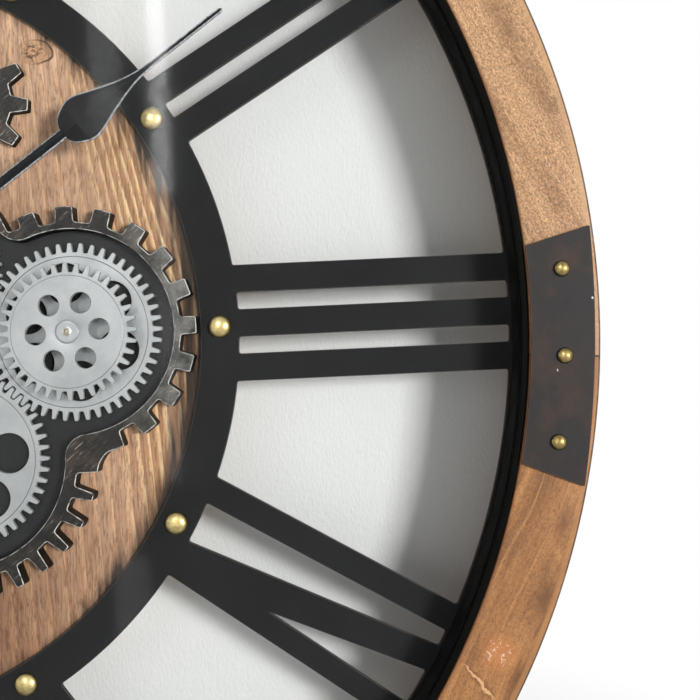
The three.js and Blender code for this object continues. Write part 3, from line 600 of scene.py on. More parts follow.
dome_tree = bpy.data.node_groups.new("domed_tacks", "GeometryNodeTree")
dome_inputs = {"Geometry": "Geometry", "Head radius": "Float", "Head height": "Float", "Finish": "Material"}
for socket, kind in dome_inputs.items():
    dome_tree.interface.new_socket(socket, in_out="INPUT", socket_type="NodeSocket" + kind)
dome_tree.interface.new_socket("Geometry", in_out="OUTPUT", socket_type="NodeSocketGeometry")
given = node(dome_tree, "NodeGroupInput").outputs
cone = node(dome_tree, "GeometryNodeMeshCone", {
    "Vertices": 36, "Side Segments": 10, "Radius Top": 0.0, "Radius Bottom": given[1], "Depth": given[2],
}).outputs[0]
spot = axes(node(dome_tree, "GeometryNodeInputPosition").outputs[0])
swing = times(calc("DIVIDE", spot[2], given[2]), math.pi / 2)
reach = times(calc("COSINE", swing), given[1])
top = times(calc("SINE", swing), given[2])
way = vector("NORMALIZE", node(dome_tree, "CombineXYZ", {0: spot[0], 1: spot[1]}).outputs[0])
out = node(dome_tree, "VectorMath", {0: way, "Scale": reach}, operation="SCALE").outputs[0]
shape = vector("ADD", out, node(dome_tree, "CombineXYZ", {2: top}).outputs[0])
dome = node(dome_tree, "GeometryNodeSetPosition", {"Geometry": cone, "Position": shape}).outputs[0]
heads = node(dome_tree, "GeometryNodeInstanceOnPoints", {
    "Points": given[0], "Instance": dome, "Rotation": (math.pi / 2, 0, 0),
}).outputs[0]
real = node(dome_tree, "GeometryNodeRealizeInstances", {0: heads}).outputs[0]
painted = node(dome_tree, "GeometryNodeSetMaterial", {"Geometry": real, "Material": given[3]}).outputs[0]
node(dome_tree, "NodeGroupOutput", {0: painted})


def tacks(name, nodes, radius, seat, material):
    """Domed heads in the places of the CAD tacks, grown by the tree and kept as a plain mesh."""
    places = []
    for tack_node in nodes:
        low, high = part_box(tack_node)
        places.append(((low.x + high.x) / 2, seat * MM, (low.z + high.z) / 2))
    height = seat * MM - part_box(nodes[0])[0].y
    values = {"Head radius": radius * MM, "Head height": height, "Finish": material}
    seed = bpy.data.meshes.new(name)
    seed.from_pydata(places, [], [])
    made = placed(name, seed)
    grow = made.modifiers.new("grow", "NODES")
    grow.node_group = dome_tree
    for item in dome_tree.interface.items_tree:
        if item.name in values:
            grow[item.identifier] = values[item.name]
    graph = bpy.context.evaluated_depsgraph_get()
    made.data = bpy.data.meshes.new_from_object(made.evaluated_get(graph))
    made.modifiers.clear()
    made.data.shade_smooth()
    made.data.set_sharp_from_angle(angle=math.radians(40))
    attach(made, "clock_case")
    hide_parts(*nodes)


SMALL_TACK = 4
LARGE_TACK = 6
plate_tacks = [f"plate_tack_{side}_{k}" for side in plate_sides for k in (1, 2, 3)]
dial_tacks = [f"dial_tack_{k}" for k in range(1, 13)]
tacks("plate_tack_heads", plate_tacks, SMALL_TACK, depths("plate_right")[1], dark_brass)
tacks("dial_tack_heads", dial_tacks, LARGE_TACK, depths("dial_plate")[1], brass)

# Dial: one sheet of steel, cut by laser and powder coated black.
# The numerals are the spokes between its two rings, and every opening has small round corners.


def thinned(loop, least):
    """The outline without sides shorter than that: each loses the end that turns less."""
    loop = list(loop)
    while len(loop) > 3:
        short = next((i for i in range(len(loop)) if (loop[i] - loop[i - 1]).length < least), None)
        if short is None:
            break
        ends = ((short - 1) % len(loop), short)
        del loop[min(ends, key=lambda i: turning(loop, i))]
    return loop


def arrange(shapes, keep):
    """Outlines of the flat region where keep is true of the names of the shapes that cover it."""
    names = [name for name, outlines in shapes.items() for _ in outlines]
    corners, triangles, _, covers = covering(sum(shapes.values(), []))
    sides = set()
    for triangle, cover in zip(triangles, covers):
        if keep({names[i] for i in cover}):
            sides.update(zip(triangle, triangle[1:] + triangle[:1]))
    ahead = {a: b for a, b in sides if (b, a) not in sides}
    loops = []
    while ahead:
        start, here = ahead.popitem()
        loop = [start]
        while here != start:
            loop.append(here)
            here = ahead.pop(here)
        loops.append(thinned([corners[i] for i in loop], SHORTEST_SIDE))
    return loops


def round_outline(radius, steps, centre=(0, 0)):
    return arc(radius, 0, 360, steps, centre)[:-1]


DIAL_OUTER = RIM_REBATE - 0.5
DIAL_OPENING = 359.5
RING_OUTER = 218.45
RING_INNER = 198.45
BAR_WIDTH = 14.4
BAR_GAP = 8.8
V_FOOT = 20
V_TOP = 47
V_THICK = 14.4
V_THIN = 12.5
X_WIDTH = 46
CUT_CORNER = 1.5
SHORTEST_SIDE = 0.4
DIAL_EASE = 0.2
DIAL_WEAR = 0.8
STROKE_FOOT = RING_INNER + 3
STROKE_TOP = DIAL_OPENING + 4
NUMERALS = ("I", "II", "III", "IV", "V", "VI", "VII", "VIII", "IX", "X", "XI", "XII")
NUMERAL_TURN = {2: -1.2, 3: -0.2, 4: 0.5}
LETTER_WIDTH = {"I": BAR_WIDTH, "V": V_TOP, "X": X_WIDTH}


def letter_strokes(letter, left):
    """Each stroke as the two ends of its foot on the inner ring and of its top on the outer ring."""
    if letter == "I":
        return [((left, left + BAR_WIDTH), (left, left + BAR_WIDTH))]
    if letter == "V":
        foot = left + (V_TOP - V_FOOT) / 2
        return [
            ((foot, foot + V_FOOT), (left, left + V_THICK)),
            ((foot + V_FOOT - V_THIN, foot + V_FOOT), (left + V_TOP - V_THIN, left + V_TOP)),
        ]
    return [
        ((left, left + V_THICK), (left + X_WIDTH - V_THICK, left + X_WIDTH)),
        ((left + X_WIDTH - V_THIN, left + X_WIDTH), (left, left + V_THIN)),
    ]


def stroke_outline(foot, top, turn):
    """A straight stroke that runs a little way into both rings, turned to its hour."""
    corners = []
    for side, height in ((0, STROKE_FOOT), (1, STROKE_FOOT), (1, STROKE_TOP), (0, STROKE_TOP)):
        share = (height - RING_OUTER) / (DIAL_OPENING - RING_OUTER)
        across = foot[side] + (top[side] - foot[side]) * share
        corners.append(Vector((across, height)))
    swing = Matrix.Rotation(-turn, 2)
    return [swing @ corner for corner in corners]


strokes = []
for hour, letters in enumerate(NUMERALS, 1):
    turn = math.radians(30 * hour + NUMERAL_TURN.get(hour, 0))
    left = -(sum(LETTER_WIDTH[letter] + BAR_GAP for letter in letters) - BAR_GAP) / 2
    for letter in letters:
        strokes += [stroke_outline(foot, top, turn) for foot, top in letter_strokes(letter, left)]
        left += LETTER_WIDTH[letter] + BAR_GAP
dial_shapes = {
    "sheet": [round_outline(DIAL_OUTER, 240)],
    "opening": [round_outline(DIAL_OPENING, 240)],
    "stroke": strokes,
    "ring": [round_outline(RING_OUTER, 200)],
    "hole": [round_outline(RING_INNER, 200)],
}


def dial_stands(names):
    if "hole" in names:
        return False
    return "stroke" in names or "ring" in names or names == {"sheet"}


dial_loops = arrange(dial_shapes, dial_stands)
dial_black, surface, where = finish("powder_black", specular_ior_level=0.03)
pebble = noise(where, 1400, 2, 0.6)
dusty = noise(where, 26, 5, 0.6)
specks = noise(where, 620, 1, 0.4)
colour = shade(dusty, (37, 37, 38), (43, 43, 44))
colour = mix(ramp(specks, (0.8, 0.0), (0.84, 0.6)), colour, (120, 118, 114))
colour = mix(times(bare_edge(where), 0.6), colour, (126, 120, 110))
wear(surface, colour, shade(pebble, 0.5, 0.66), bump(pebble, 0.00003, 0.12))
back, front = depths("dial_plate")
bm = bmesh.new()
dial_levels = eased(back, front, DIAL_EASE, DIAL_WEAR)
slab(bm, [rounded(loop, CUT_CORNER) for loop in dial_loops], dial_levels)
piece("dial_sheet", bm, [dial_black], ["dial_plate"])

# Centre board: a round of fir, scorched and brushed so that the hard grain stands out pale.
# The grain stands upright, closes up and bends near the right edge, and has one knot near the top.
board_wood, surface, where = finish("scorched_fir", specular_ior_level=0.25)
KNOT_RIGHT = 117.1 * MM
KNOT_UP = 147.4 * MM
KNOT_WIDE = 9.5 * MM
KNOT_TALL = 6.8 * MM
GRAIN_STEP = 10 * MM
CLOSE_FROM = 170 * MM
split = axes(where)
knot_shift = (-KNOT_RIGHT / KNOT_WIDE, 0, -KNOT_UP / KNOT_TALL)
knot_way = stretch(where, (1 / KNOT_WIDE, 0, 1 / KNOT_TALL), shift=knot_shift)
knot_far = vector("LENGTH", knot_way)
knot_side = axes(knot_way)[0]
pushed = times(knot_side, calc("POWER", 0.45, knot_far))
wander = drawn(where, (24, 24, 2), 2, 0.5)
ripple = drawn(where, (70, 70, 6), 3, 0.6)
high = calc("MAXIMUM", split[2], 0.0)
arched = times(times(high, high), 1.75)
bent = times(ramp(split[0], (0.1, 0.0), (0.175, 1.0)), arched)
across = plus(split[0], times(split[2], 0.045))
across = plus(across, bent)
across = plus(across, times(wander, 0.02))
across = plus(across, times(ripple, 0.006))
across = calc("SUBTRACT", across, times(pushed, 0.006))
closing = calc("MAXIMUM", calc("SUBTRACT", across, CLOSE_FROM), 0.0)
count = calc("DIVIDE", plus(across, closing), GRAIN_STEP)
year = calc("FRACT", count)
number = {"W": calc("FLOOR", count)}
one_year = node(where.id_data, "TexWhiteNoise", number, noise_dimensions="1D").outputs["Value"]
fibre = drawn(where, (1000, 1000, 60), 4, 0.75)
dashes = drawn(where, (900, 900, 150), 3, 0.7, shift=(1, 0, 4))
soot = drawn(where, (15, 15, 6), 4, 0.6)
strong = ramp(year, (0.0, (164, 114, 76)), (0.5, (180, 130, 88)), (0.7, (236, 190, 138)),
              (0.9, (255, 222, 170)), (1.0, (160, 112, 74)))
gentle = ramp(year, (0.0, (188, 146, 117)), (0.5, (202, 160, 129)), (0.8, (222, 175, 137)),
              (0.94, (244, 194, 150)), (1.0, (180, 138, 110)))
lively = ramp(plus(across, times(soot, 0.02)), (0.174, 0.0), (0.193, 1.0))
colour = mix(lively, gentle, strong)
even = ramp(one_year, (0.0, (192, 150, 122)), (1.0, (228, 182, 146)))
colour = mix(ramp(soot, (0.35, 0.05), (0.65, 0.28)), colour, even)
colour = mix(0.9, colour, ramp(fibre, (0.3, 0.19), (0.62, 0.79)), "SOFT_LIGHT")
grey = ramp(dashes, (0.5, 0.0), (0.64, 0.65))
colour = mix(grey, colour, (124, 93, 75))
colour = mix(ramp(soot, (0.5, 0.0), (0.74, 0.5)), colour, (134, 98, 74))
licks = drawn(where, (150, 150, 9), 3, 0.6)
# A dark band with ragged licks runs round the edge under the dial ring, reaching further in on the right:
# scorching, and painted shadow of the ring.
scorch_and_shadow_reach = plus(from_axis(where), times(licks, 0.034))
# The board is darker towards the bottom, and more so at the lower left.
colour = mix(fade(split[2], -0.14, -0.03, 0.5, 0.0), colour, (169, 149, 133), "MULTIPLY")
low_side = times(fade(split[0], 0.095, 0.125, 0.5, 0.0), fade(split[2], -0.14, -0.1, 1.0, 0.0))
colour = mix(low_side, colour, (164, 137, 117), "MULTIPLY")
scorch_and_shadow_reach = plus(scorch_and_shadow_reach, fade(split[0], 0.12, 0.19, -0.006, 0.003))
colour = mix(fade(scorch_and_shadow_reach, 0.2035, 0.2145, 0.0, 0.97), colour, (34, 22, 15))
specks = noise(where, 720, 2, 0.6)
speck_area = ramp(noise(where, 210, 2, 0.5), (0.36, 0.0), (0.48, 0.95))
speck_area = times(speck_area, fade(knot_side, 0.0, 0.8, 1.0, 0.4))
knot_colour = ramp(ripple, (0.35, (178, 132, 96)), (0.65, (212, 164, 124)))
speckled = times(speck_area, ramp(specks, (0.46, 0.0), (0.53, 1.0)))
knot_colour = mix(speckled, knot_colour, (58, 39, 29))
knot_edge = plus(knot_far, times(noise(where, 170, 2, 0.5), 0.36))
rind = ramp(times(knot_edge, 0.5), (0.51, 0.0), (0.545, 0.9), (0.575, 0.9), (0.61, 0.0))
rind = times(rind, ramp(plus(knot_side, 0.5), (0.1, 0.15), (1.0, 1.0)))
colour = mix(ramp(times(knot_edge, 0.5), (0.3, 0.9), (0.62, 0.0)), colour, knot_colour)
colour = mix(times(rind, ramp(licks, (0.35, 0.3), (0.5, 1.0))), colour, (62, 40, 28))
height = plus(fibre, times(year, 0.25))
wear(surface, colour, shade(fibre, 0.7, 0.5), bump(height, 0.0004, 0.45))
BOARD_RADIUS = 214.45
BOARD_EASE = 0.5
back, front = depths("centre_board")
bm = bmesh.new()
slab(bm, [round_outline(BOARD_RADIUS, 180)], eased(back, front, BOARD_EASE))
piece("fir_board", bm, [board_wood], ["centre_board"])

# Gear tray: a dark casting with a raised toothed wall round four recesses, laid on the board.
# The walls taper for the mould, and the paint is rubbed to bright metal along every edge.
tray_metal, surface, where = finish("cast_tray", metallic=0.2, specular_ior_level=0.16)
bright = (214, 212, 208)
cloud = noise(where, 85, 5, 0.62)
grit = noise(where, 900, 3, 0.6)
slanted = stretch(where, (1, 1, 1), turn=(0, 0.7, 0))
brushed = drawn(slanted, (130, 500, 1700), 3, 0.6)
colour = ramp(cloud, (0.3, (34, 32, 30)), (0.5, (42, 39, 37)), (0.72, (58, 53, 49)))
colour = mix(ramp(cloud, (0.54, 0.0), (0.72, 0.35)), colour, (80, 61, 49))
colour = mix(0.6, colour, ramp(brushed, (0.28, 0.26), (0.68, 0.7)), "SOFT_LIGHT")
# The casting is paler towards the right.
paler_to_right = times(fade(axes(where)[0], 0.155, 0.2, 0.0, 0.8), ramp(cloud, (0.36, 0.1), (0.58, 1.0)))
colour = mix(paler_to_right, colour, (128, 126, 122))
streaks = ramp(brushed, (0.6, 0.0), (0.74, 0.5))
colour = mix(times(streaks, ramp(cloud, (0.42, 0.0), (0.6, 1.0))), colour, bright)
colour = mix(ramp(grit, (0.66, 0.0), (0.74, 0.5)), colour, (150, 140, 130))
# Faces that turn away from the front are nearly black: a black wash left on the sides, and painted shade.
colour = mix(ramp(frontal(where), (0.4, 1.0), (0.9, 0.0)), colour, (12, 11, 10))
broken = ramp(noise(where, 260, 3, 0.7), (0.38, 0.1), (0.56, 1.0))
colour = mix(times(bare_edge(where), broken), colour, bright)
wear(surface, colour, shade(cloud, 0.5, 0.38), bump(grit, 0.0001, 0.4))
floor_paint, surface, where = finish("tray_floor", specular_ior_level=0.17)
grit = noise(where, 700, 3, 0.6)
cloud = noise(where, 40, 4, 0.6)
colour = shade(cloud, (33, 33, 34), (42, 42, 43))
colour = mix(ramp(grit, (0.66, 0.0), (0.74, 0.3)), colour, (110, 108, 104))
wear(surface, colour, shade(grit, 0.42, 0.56), bump(grit, 0.00008, 0.4))

GEAR_TIP = 46.38
BOSS = 20
RECESS_FILLET = 12
WEB_FILLET = 12
WEB_HOLLOW = 14.4
WEB_RIGHT_TOOTH = -4
WEB_LOWER_TOOTH = 1
joint_place = {joint["name"]: joint["pos_m"] for joint in frame["joints"]}
gear_spot = {
    side: (joint_place[f"gear_{side}_turn"][0] / MM, joint_place[f"gear_{side}_turn"][2] / MM)
    for side in ("right", "lower", "centre", "left")
}
tray_rings = {
    "right": {"gap": 6.9, "wall": 3.9, "tooth": 8.1, "teeth": 20, "root": 9.9, "tip": 9.4, "turn": 1},
    "lower": {"gap": 9.4, "wall": 6.6, "tooth": 10.6, "teeth": 30, "root": 6.7, "tip": 4.4, "turn": -17.5},
    "centre": {"gap": 4.9, "wall": 4.4, "tooth": 8.1, "teeth": 20, "root": 9.4, "tip": 8.8, "turn": 16},
    "left": {"gap": 4.9, "wall": 4.4, "tooth": 8.1, "teeth": 20, "root": 9.4, "tip": 8.8, "turn": 8},
}
for side, ring in tray_rings.items():
    ring["spot"] = gear_spot[side]
    ring["recess"] = GEAR_TIP + ring["gap"]
    ring["foot"] = ring["recess"] + ring["wall"]
    ring["reach"] = ring["foot"] + ring["tooth"]


def toothed(teeth, tip, root, root_half, tip_half, turn, centre=(0, 0), keep=None):
    """Straight-sided teeth round a circle. keep says which tooth tips are left standing."""
    root_swing = math.degrees(math.asin(root_half / root))
    tip_swing = math.degrees(math.asin(tip_half / tip))
    out = []
    for i in range(teeth):
        angle = turn + 360 * i / teeth
        out.append(polar(root, angle - root_swing, centre))
        if keep is None or keep(polar(tip, angle, centre)):
            out.append(polar(tip, angle - tip_swing, centre))
            out.append(polar(tip, angle + tip_swing, centre))
        out.append(polar(root, angle + root_swing, centre))
    return out


def short_arc(centre, radius, one, two):
    """The arc from the bearing of one point to that of another, the short way round."""
    start = math.degrees(math.atan2(one.y - centre.y, one.x - centre.x))
    end = math.degrees(math.atan2(two.y - centre.y, two.x - centre.x))
    swing = (end - start + 540) % 360 - 180
    return arc(radius, start, start + swing, 14, centre)


def neck(one, radius_one, two, radius_two, fillet, side):
    """The web between two circles, hollowed by a circle that touches both."""
    one, two = Vector(one), Vector(two)
    reach_one, reach_two = radius_one + fillet, radius_two + fillet
    span = (two - one).length
    along = (two - one) / span
    foot = (reach_one**2 - reach_two**2 + span**2) / (2 * span)
    rise = side * math.sqrt(reach_one**2 - foot**2)
    centre = one + along * foot + Vector((-along.y, along.x)) * rise
    return [one, *short_arc(centre, fillet, one, two), two]


def tooth_corner(ring, number, side):
    swing = side * math.degrees(math.asin(ring["tip"] / 2 / ring["reach"]))
    return polar(ring["reach"], ring["turn"] + 360 / ring["teeth"] * number + swing, ring["spot"])


def hollow_web(ring_one, corner_one, ring_two, corner_two, radius):
    """The web between two rings, hollowed by an arc from a tooth of one to a tooth of the other."""
    way = corner_two - corner_one
    half = way.length / 2
    reach = math.sqrt(max(radius**2 - half**2, 0))
    centre = (corner_one + corner_two) / 2 + Vector((-way.y, way.x)).normalized() * reach
    hollow = short_arc(centre, math.hypot(half, reach), corner_one, corner_two)
    return [Vector(ring_one["spot"]), *hollow, Vector(ring_two["spot"])]


FIXED_UPPER = {"teeth": 11, "tip": 35.3, "root": 26.6, "root_half": 4.6, "tip_half": 3.0, "turn": -4.8}
FIXED_LOWER = {"teeth": 14, "tip": 46, "root": 36.5, "root_half": 5.0, "tip_half": 3.4, "turn": 6}
FIXED_UPPER_BORE = 12
FIXED_LOWER_BORE = 18
FIXED_GAP = 2.4
FIXED_CLEAR = 24
FIXED_UPPER_BEARING = 72.2
FIXED_LOWER_BEARING = 218
FIXED_LOWER_INSET = 30
centre_ring = tray_rings["centre"]
fixed_upper_reach = centre_ring["foot"] + FIXED_UPPER["tip"] + FIXED_GAP
fixed_upper = polar(fixed_upper_reach, FIXED_UPPER_BEARING, centre_ring["spot"])
fixed_lower = polar(RING_INNER - FIXED_LOWER["tip"] - FIXED_LOWER_INSET, FIXED_LOWER_BEARING)


def tooth_stands(point):
    clear_of_gear = (point - fixed_upper).length > FIXED_UPPER["tip"] + FIXED_CLEAR
    return clear_of_gear and point.length > BOSS + centre_ring["tooth"]


ring_outlines = [
    toothed(
        r["teeth"], r["reach"], r["foot"], r["root"] / 2, r["tip"] / 2, r["turn"], r["spot"], tooth_stands
    )
    for r in tray_rings.values()
]
right, lower, left_ring = tray_rings["right"], tray_rings["lower"], tray_rings["left"]
right_corner = tooth_corner(right, WEB_RIGHT_TOOTH, 1)
lower_corner = tooth_corner(lower, WEB_LOWER_TOOTH, -1)
tray_shapes = {"body": [
    *ring_outlines,
    *(round_outline(r["foot"] - 0.4, 120, r["spot"]) for r in tray_rings.values()),
    hollow_web(right, right_corner, lower, lower_corner, WEB_HOLLOW),
    neck((0, 0), BOSS, lower["spot"], lower["foot"], WEB_FILLET, -1),
    neck((0, 0), BOSS, lower["spot"], lower["foot"], WEB_FILLET, 1),
    neck((0, 0), BOSS, left_ring["spot"], left_ring["foot"], WEB_FILLET, 1),
    round_outline(BOSS, 60),
]}
recess_pairs = (("right", "lower"), ("right", "centre"), ("lower", "centre"), ("centre", "left"))
recesses = [round_outline(r["recess"], 96, r["spot"]) for r in tray_rings.values()]
for one, two in recess_pairs:
    one, two = tray_rings[one], tray_rings[two]
    for turn in (-1, 1):
        recesses.append(neck(one["spot"], one["recess"], two["spot"], two["recess"], RECESS_FILLET, turn))
LEAST_AREA = 400
body_loops = [loop for loop in arrange(tray_shapes, bool) if abs(area(loop)) > LEAST_AREA]
recess_loops = [loop for loop in arrange({"recess": recesses}, bool) if abs(area(loop)) > LEAST_AREA]
TRAY_DRAFT = 0.28
TRAY_EASE = 0.26
TRAY_FLOOR = 1.3
TRAY_LIP = 1.0
RECESS_DRAFT = 0.5
TRAY_CORNER = 1.3
RECESS_CORNER = 1.5
back, front = depths("gear_tray")
bm = bmesh.new()
outside_edge = worn_edge(front, TRAY_EASE, TRAY_EASE * 1.4, TRAY_EASE * 1.8, TRAY_DRAFT)
outside_levels = [(back, 0), (front + TRAY_LIP, TRAY_DRAFT - 0.05), *outside_edge]
inside_edge = worn_edge(front, TRAY_EASE, TRAY_LIP, TRAY_EASE * 1.6)
inside_levels = [(back - TRAY_FLOOR, -RECESS_DRAFT), *inside_edge]
outside = [wall(bm, rounded(loop, TRAY_CORNER, 3), outside_levels) for loop in body_loops]
inside = [wall(bm, rounded(loop, RECESS_CORNER, 3)[::-1], inside_levels) for loop in recess_loops]
cap(bm, [rings[0] for rings in outside])
cap(bm, [rings[-1] for rings in outside + inside])
before_floor = len(bm.faces)
cap(bm, [rings[0] for rings in inside])
for face in list(bm.faces)[before_floor:]:
    face.material_index = 1
piece("gear_tray_casting", bm, [tray_metal, floor_paint], ["gear_tray"])

# Fixed gears: two dark cast ornaments, glued flat on the board beside the tray.
# They have broad square teeth and a large bore, with the same rubbed edges as the tray.
FIXED_CORNER = 1.0
FIXED_DRAFT = 0.3
for fixed_name, gear, hole, spot_at in (
    ("fixed_gear_upper", FIXED_UPPER, FIXED_UPPER_BORE, fixed_upper),
    ("fixed_gear_lower", FIXED_LOWER, FIXED_LOWER_BORE, fixed_lower),
):
    back, front = depths(fixed_name)
    outline = toothed(**gear, centre=spot_at)
    bm = bmesh.new()
    levels = [(back, -FIXED_DRAFT), *worn_edge(front, TRAY_EASE, TRAY_EASE * 1.4, TRAY_EASE * 1.8)]
    slab(bm, [rounded(outline, FIXED_CORNER), round_outline(hole, 64, spot_at)[::-1]], levels)
    piece(fixed_name + "_casting", bm, [tray_metal], [fixed_name])

# Moving gears: stamped aluminium with a silver paint, each with six round holes.
# A fine circle is scored inside the teeth. The small gear has a raised disc and a hub.
gear_silver, surface, where = finish("silver_paint", metallic=0.3, specular_ior_level=0.4)
cloud = noise(where, 55, 4, 0.6)
grain = noise(where, 1100, 3, 0.6)
colour = shade(cloud, (150, 152, 153), (169, 171, 172))
colour = mix(0.3, colour, shade(grain, 0.4, 0.6), "SOFT_LIGHT")
# The scored circle and the edges of the raised disc and the hub are darker.
darker_at_scores = times(bare_edge(where), ramp(grain, (0.35, 0.4), (0.6, 0.9)))
colour = mix(darker_at_scores, colour, (112, 112, 111))
wear(surface, colour, shade(grain, 0.36, 0.48), bump(grain, 0.00005, 0.4))

PITCH = 1.845 * math.pi
LARGE_TEETH = 48
SMALL_TEETH = 36
ADDENDUM = 2.1
DEDENDUM = 2.7
TOOTH_ROOT_HALF = 0.27 * PITCH
TOOTH_TIP_HALF = 0.155 * PITCH
TOOTH_CORNER = 0.75
GEAR_EASE = 0.22
PIN_HOLE = 2.2
SCORED = 39.3
HOLE_TURN = 36.6
LOWER_HOLE_TURN = 5.4
LARGE_HOLE = 10.5
LARGE_HOLE_CIRCLE = 25.7
SMALL_HOLE = 5.4
SMALL_HOLE_CIRCLE = 16.3
SMALL_HOLE_TURN = 3


def gear_outline(teeth, phase, spot_at):
    pitch_radius = PITCH * teeth / math.tau
    tip, root = pitch_radius + ADDENDUM, pitch_radius - DEDENDUM
    outline = toothed(teeth, tip, root, TOOTH_ROOT_HALF, TOOTH_TIP_HALF, phase, spot_at)
    return rounded(outline, TOOTH_CORNER)


def gear_holes(radius, circle, turn, spot_at):
    places = [polar(circle, turn + 60 * i, spot_at) for i in range(6)]
    return [round_outline(radius, 48, place)[::-1] for place in places]


def chamfered(back, front, ease):
    """Levels of a plate with small chamfers at both faces, neither worn."""
    return [(back, ease), (back - ease, 0), (front + ease, 0), (front, ease)]


def large_gear(bm, spot_at, phase, hole_turn, back, front):
    levels = chamfered(back, front, GEAR_EASE)
    holes = gear_holes(LARGE_HOLE, LARGE_HOLE_CIRCLE, hole_turn, spot_at)
    holes.append(round_outline(PIN_HOLE, 24, spot_at)[::-1])
    rim = wall(bm, gear_outline(LARGE_TEETH, phase, spot_at), levels)
    bores = [wall(bm, hole, levels) for hole in holes]
    score = wall(bm, round_outline(SCORED, 120, spot_at), [
        (front, -0.22),
        (front, -0.2, 1.0),
        (front + 0.25, 0, 1.0),
        (front, 0.2, 1.0),
        (front, 0.22),
    ])
    cap(bm, [rings[0] for rings in [rim] + bores])
    cap(bm, [rim[-1], score[0]])
    cap(bm, [score[-1]] + [rings[-1] for rings in bores])


def mate_phase(phase, bearing):
    """The turn that puts the teeth of the next gear in the gaps of this one."""
    return bearing + 180 - (phase - bearing) + 180 / LARGE_TEETH


LOWER_BEARING = 226.2
RIGHT_BEARING = -22
LEFT_BEARING = 170
phases = {"right": 0.0}
phases["lower"] = mate_phase(phases["right"], LOWER_BEARING)
phases["centre"] = mate_phase(phases["right"], RIGHT_BEARING + 180)
phases["left"] = mate_phase(phases["centre"], LEFT_BEARING)
for side in gear_spot:
    gear_node = "gear_right_rear" if side == "right" else "gear_" + side
    hole_turn = LOWER_HOLE_TURN if side == "lower" else HOLE_TURN
    bm = bmesh.new()
    large_gear(bm, gear_spot[side], phases[side], hole_turn, *depths(gear_node))
    piece(gear_node + "_wheel", bm, [gear_silver], [gear_node], "gear_" + side)


def tube(bm, inner, outer, back, front, centre=(0, 0), steps=24):
    turned(bm, [(inner, back), (outer, back), (outer, front), (inner, front)], centre, steps=steps)


GEAR_THICKNESS = 2.5
STEP = 0.45
RAISED = 28.8
HUB = 5.9
HUB_RISE = 0.35
COLLAR = 6.5
spot_at = gear_spot["right"]
collar_back, front = depths("gear_right_front")
back = front + GEAR_THICKNESS
toothed_front = front + STEP
bm = bmesh.new()
teeth_levels = chamfered(back, toothed_front, GEAR_EASE)
rim = wall(bm, gear_outline(SMALL_TEETH, 0, spot_at), teeth_levels)
holes = gear_holes(SMALL_HOLE, SMALL_HOLE_CIRCLE, SMALL_HOLE_TURN, spot_at)
bores = [wall(bm, hole, chamfered(back, front, GEAR_EASE)) for hole in holes]
step = wall(bm, round_outline(RAISED, 120, spot_at), [
    (toothed_front, -0.4),
    (toothed_front, -0.15, 0.7),
    (front + 0.12, 0, 0.7),
    (front, 0.2),
])
hub = wall(bm, round_outline(HUB, 48, spot_at), [
    (front, -0.5),
    (front + 0.1, -0.2, 0.8),
    (front - HUB_RISE, 0.6),
    (front - HUB_RISE, 1.2),
])
cap(bm, [rings[0] for rings in [rim] + bores])
cap(bm, [rim[-1], step[0]])
cap(bm, [step[-1], hub[0]] + [rings[-1] for rings in bores])
cap(bm, [hub[-1]])
tube(bm, PIN_HOLE, COLLAR, collar_back, back, spot_at, 40)
piece("gear_right_front_wheel", bm, [gear_silver], ["gear_right_front"], "gear_right")

# Axle pins and the drive shaft: turned steel, each with a small head in front of its gear.
# The pin of the double gear has a hollow brass-coloured end.
steel, surface, where = finish("turned_steel", metallic=1.0)
lathe = noise(where, 900, 3, 0.6)
colour = shade(lathe, (172, 174, 178), (204, 206, 208))
wear(surface, colour, shade(lathe, 0.28, 0.42), bump(lathe, 0.00004, 0.4))

AXLE = 1.9
AXLE_HEAD = 3.6
HEAD_HEIGHT = 0.7
HOLLOW = 0.9
HOLLOW_EDGE = 1.45
pin_bodies = {"axle_right": "right", "axle_centre": "centre", "axle_left": "left", "drive_shaft": "lower"}
for pin_name, side in pin_bodies.items():
    back, front = depths(pin_name)
    seat = front + HEAD_HEIGHT
    bm = bmesh.new()
    if side == "right":
        head = [
            (2.6, seat), (2.6, seat - 0.1), (2.1, seat - 0.25), (1.75, front + 0.12), (1.55, front),
            (1.25, front), (1.05, front + 0.12), (1.0, front + HOLLOW), (0, front + HOLLOW),
        ]
    else:
        head = [
            (AXLE_HEAD, seat), (AXLE_HEAD, front + 0.25), (AXLE_HEAD - 0.3, front), (0, front - 0.02),
        ]
    profile = [(0, back), (AXLE, back), (AXLE, seat), *head]
    turned(bm, profile, gear_spot[side], steps=32)
    bmesh.ops.remove_doubles(bm, verts=bm.verts, dist=0.002 * MM)
    for face in bm.faces:
        middle = face.calc_center_median()
        away = math.hypot(middle.x / MM - gear_spot[side][0], middle.z / MM - gear_spot[side][1])
        face.material_index = int(side == "right" and away < HOLLOW_EDGE and middle.y / MM < front + 1)
    body = "gear_lower" if pin_name == "drive_shaft" else "clock_case"
    piece(pin_name + "_pin", bm, [steel, dark_brass], [pin_name], body)

# Hands: sheet aluminium painted black, folded a little along the middle.
# Each is a spade with a needle tip on a slim stem, and the paint is rubbed off its edges.
hand_black, surface, where = finish("hand_paint", specular_ior_level=0.05)
scuffs = noise(where, 130, 5, 0.65)
grit = noise(where, 900, 3, 0.6)
colour = ramp(scuffs, (0.3, (23, 23, 25)), (0.62, (30, 30, 32)), (0.8, (60, 59, 58)))
rub = times(bare_edge(where), ramp(grit, (0.36, 0.2), (0.54, 1.0)))
colour = mix(rub, colour, (178, 180, 182))
wear(surface, colour, shade(scuffs, 0.28, 0.36), bump(grit, 0.00003, 0.3))

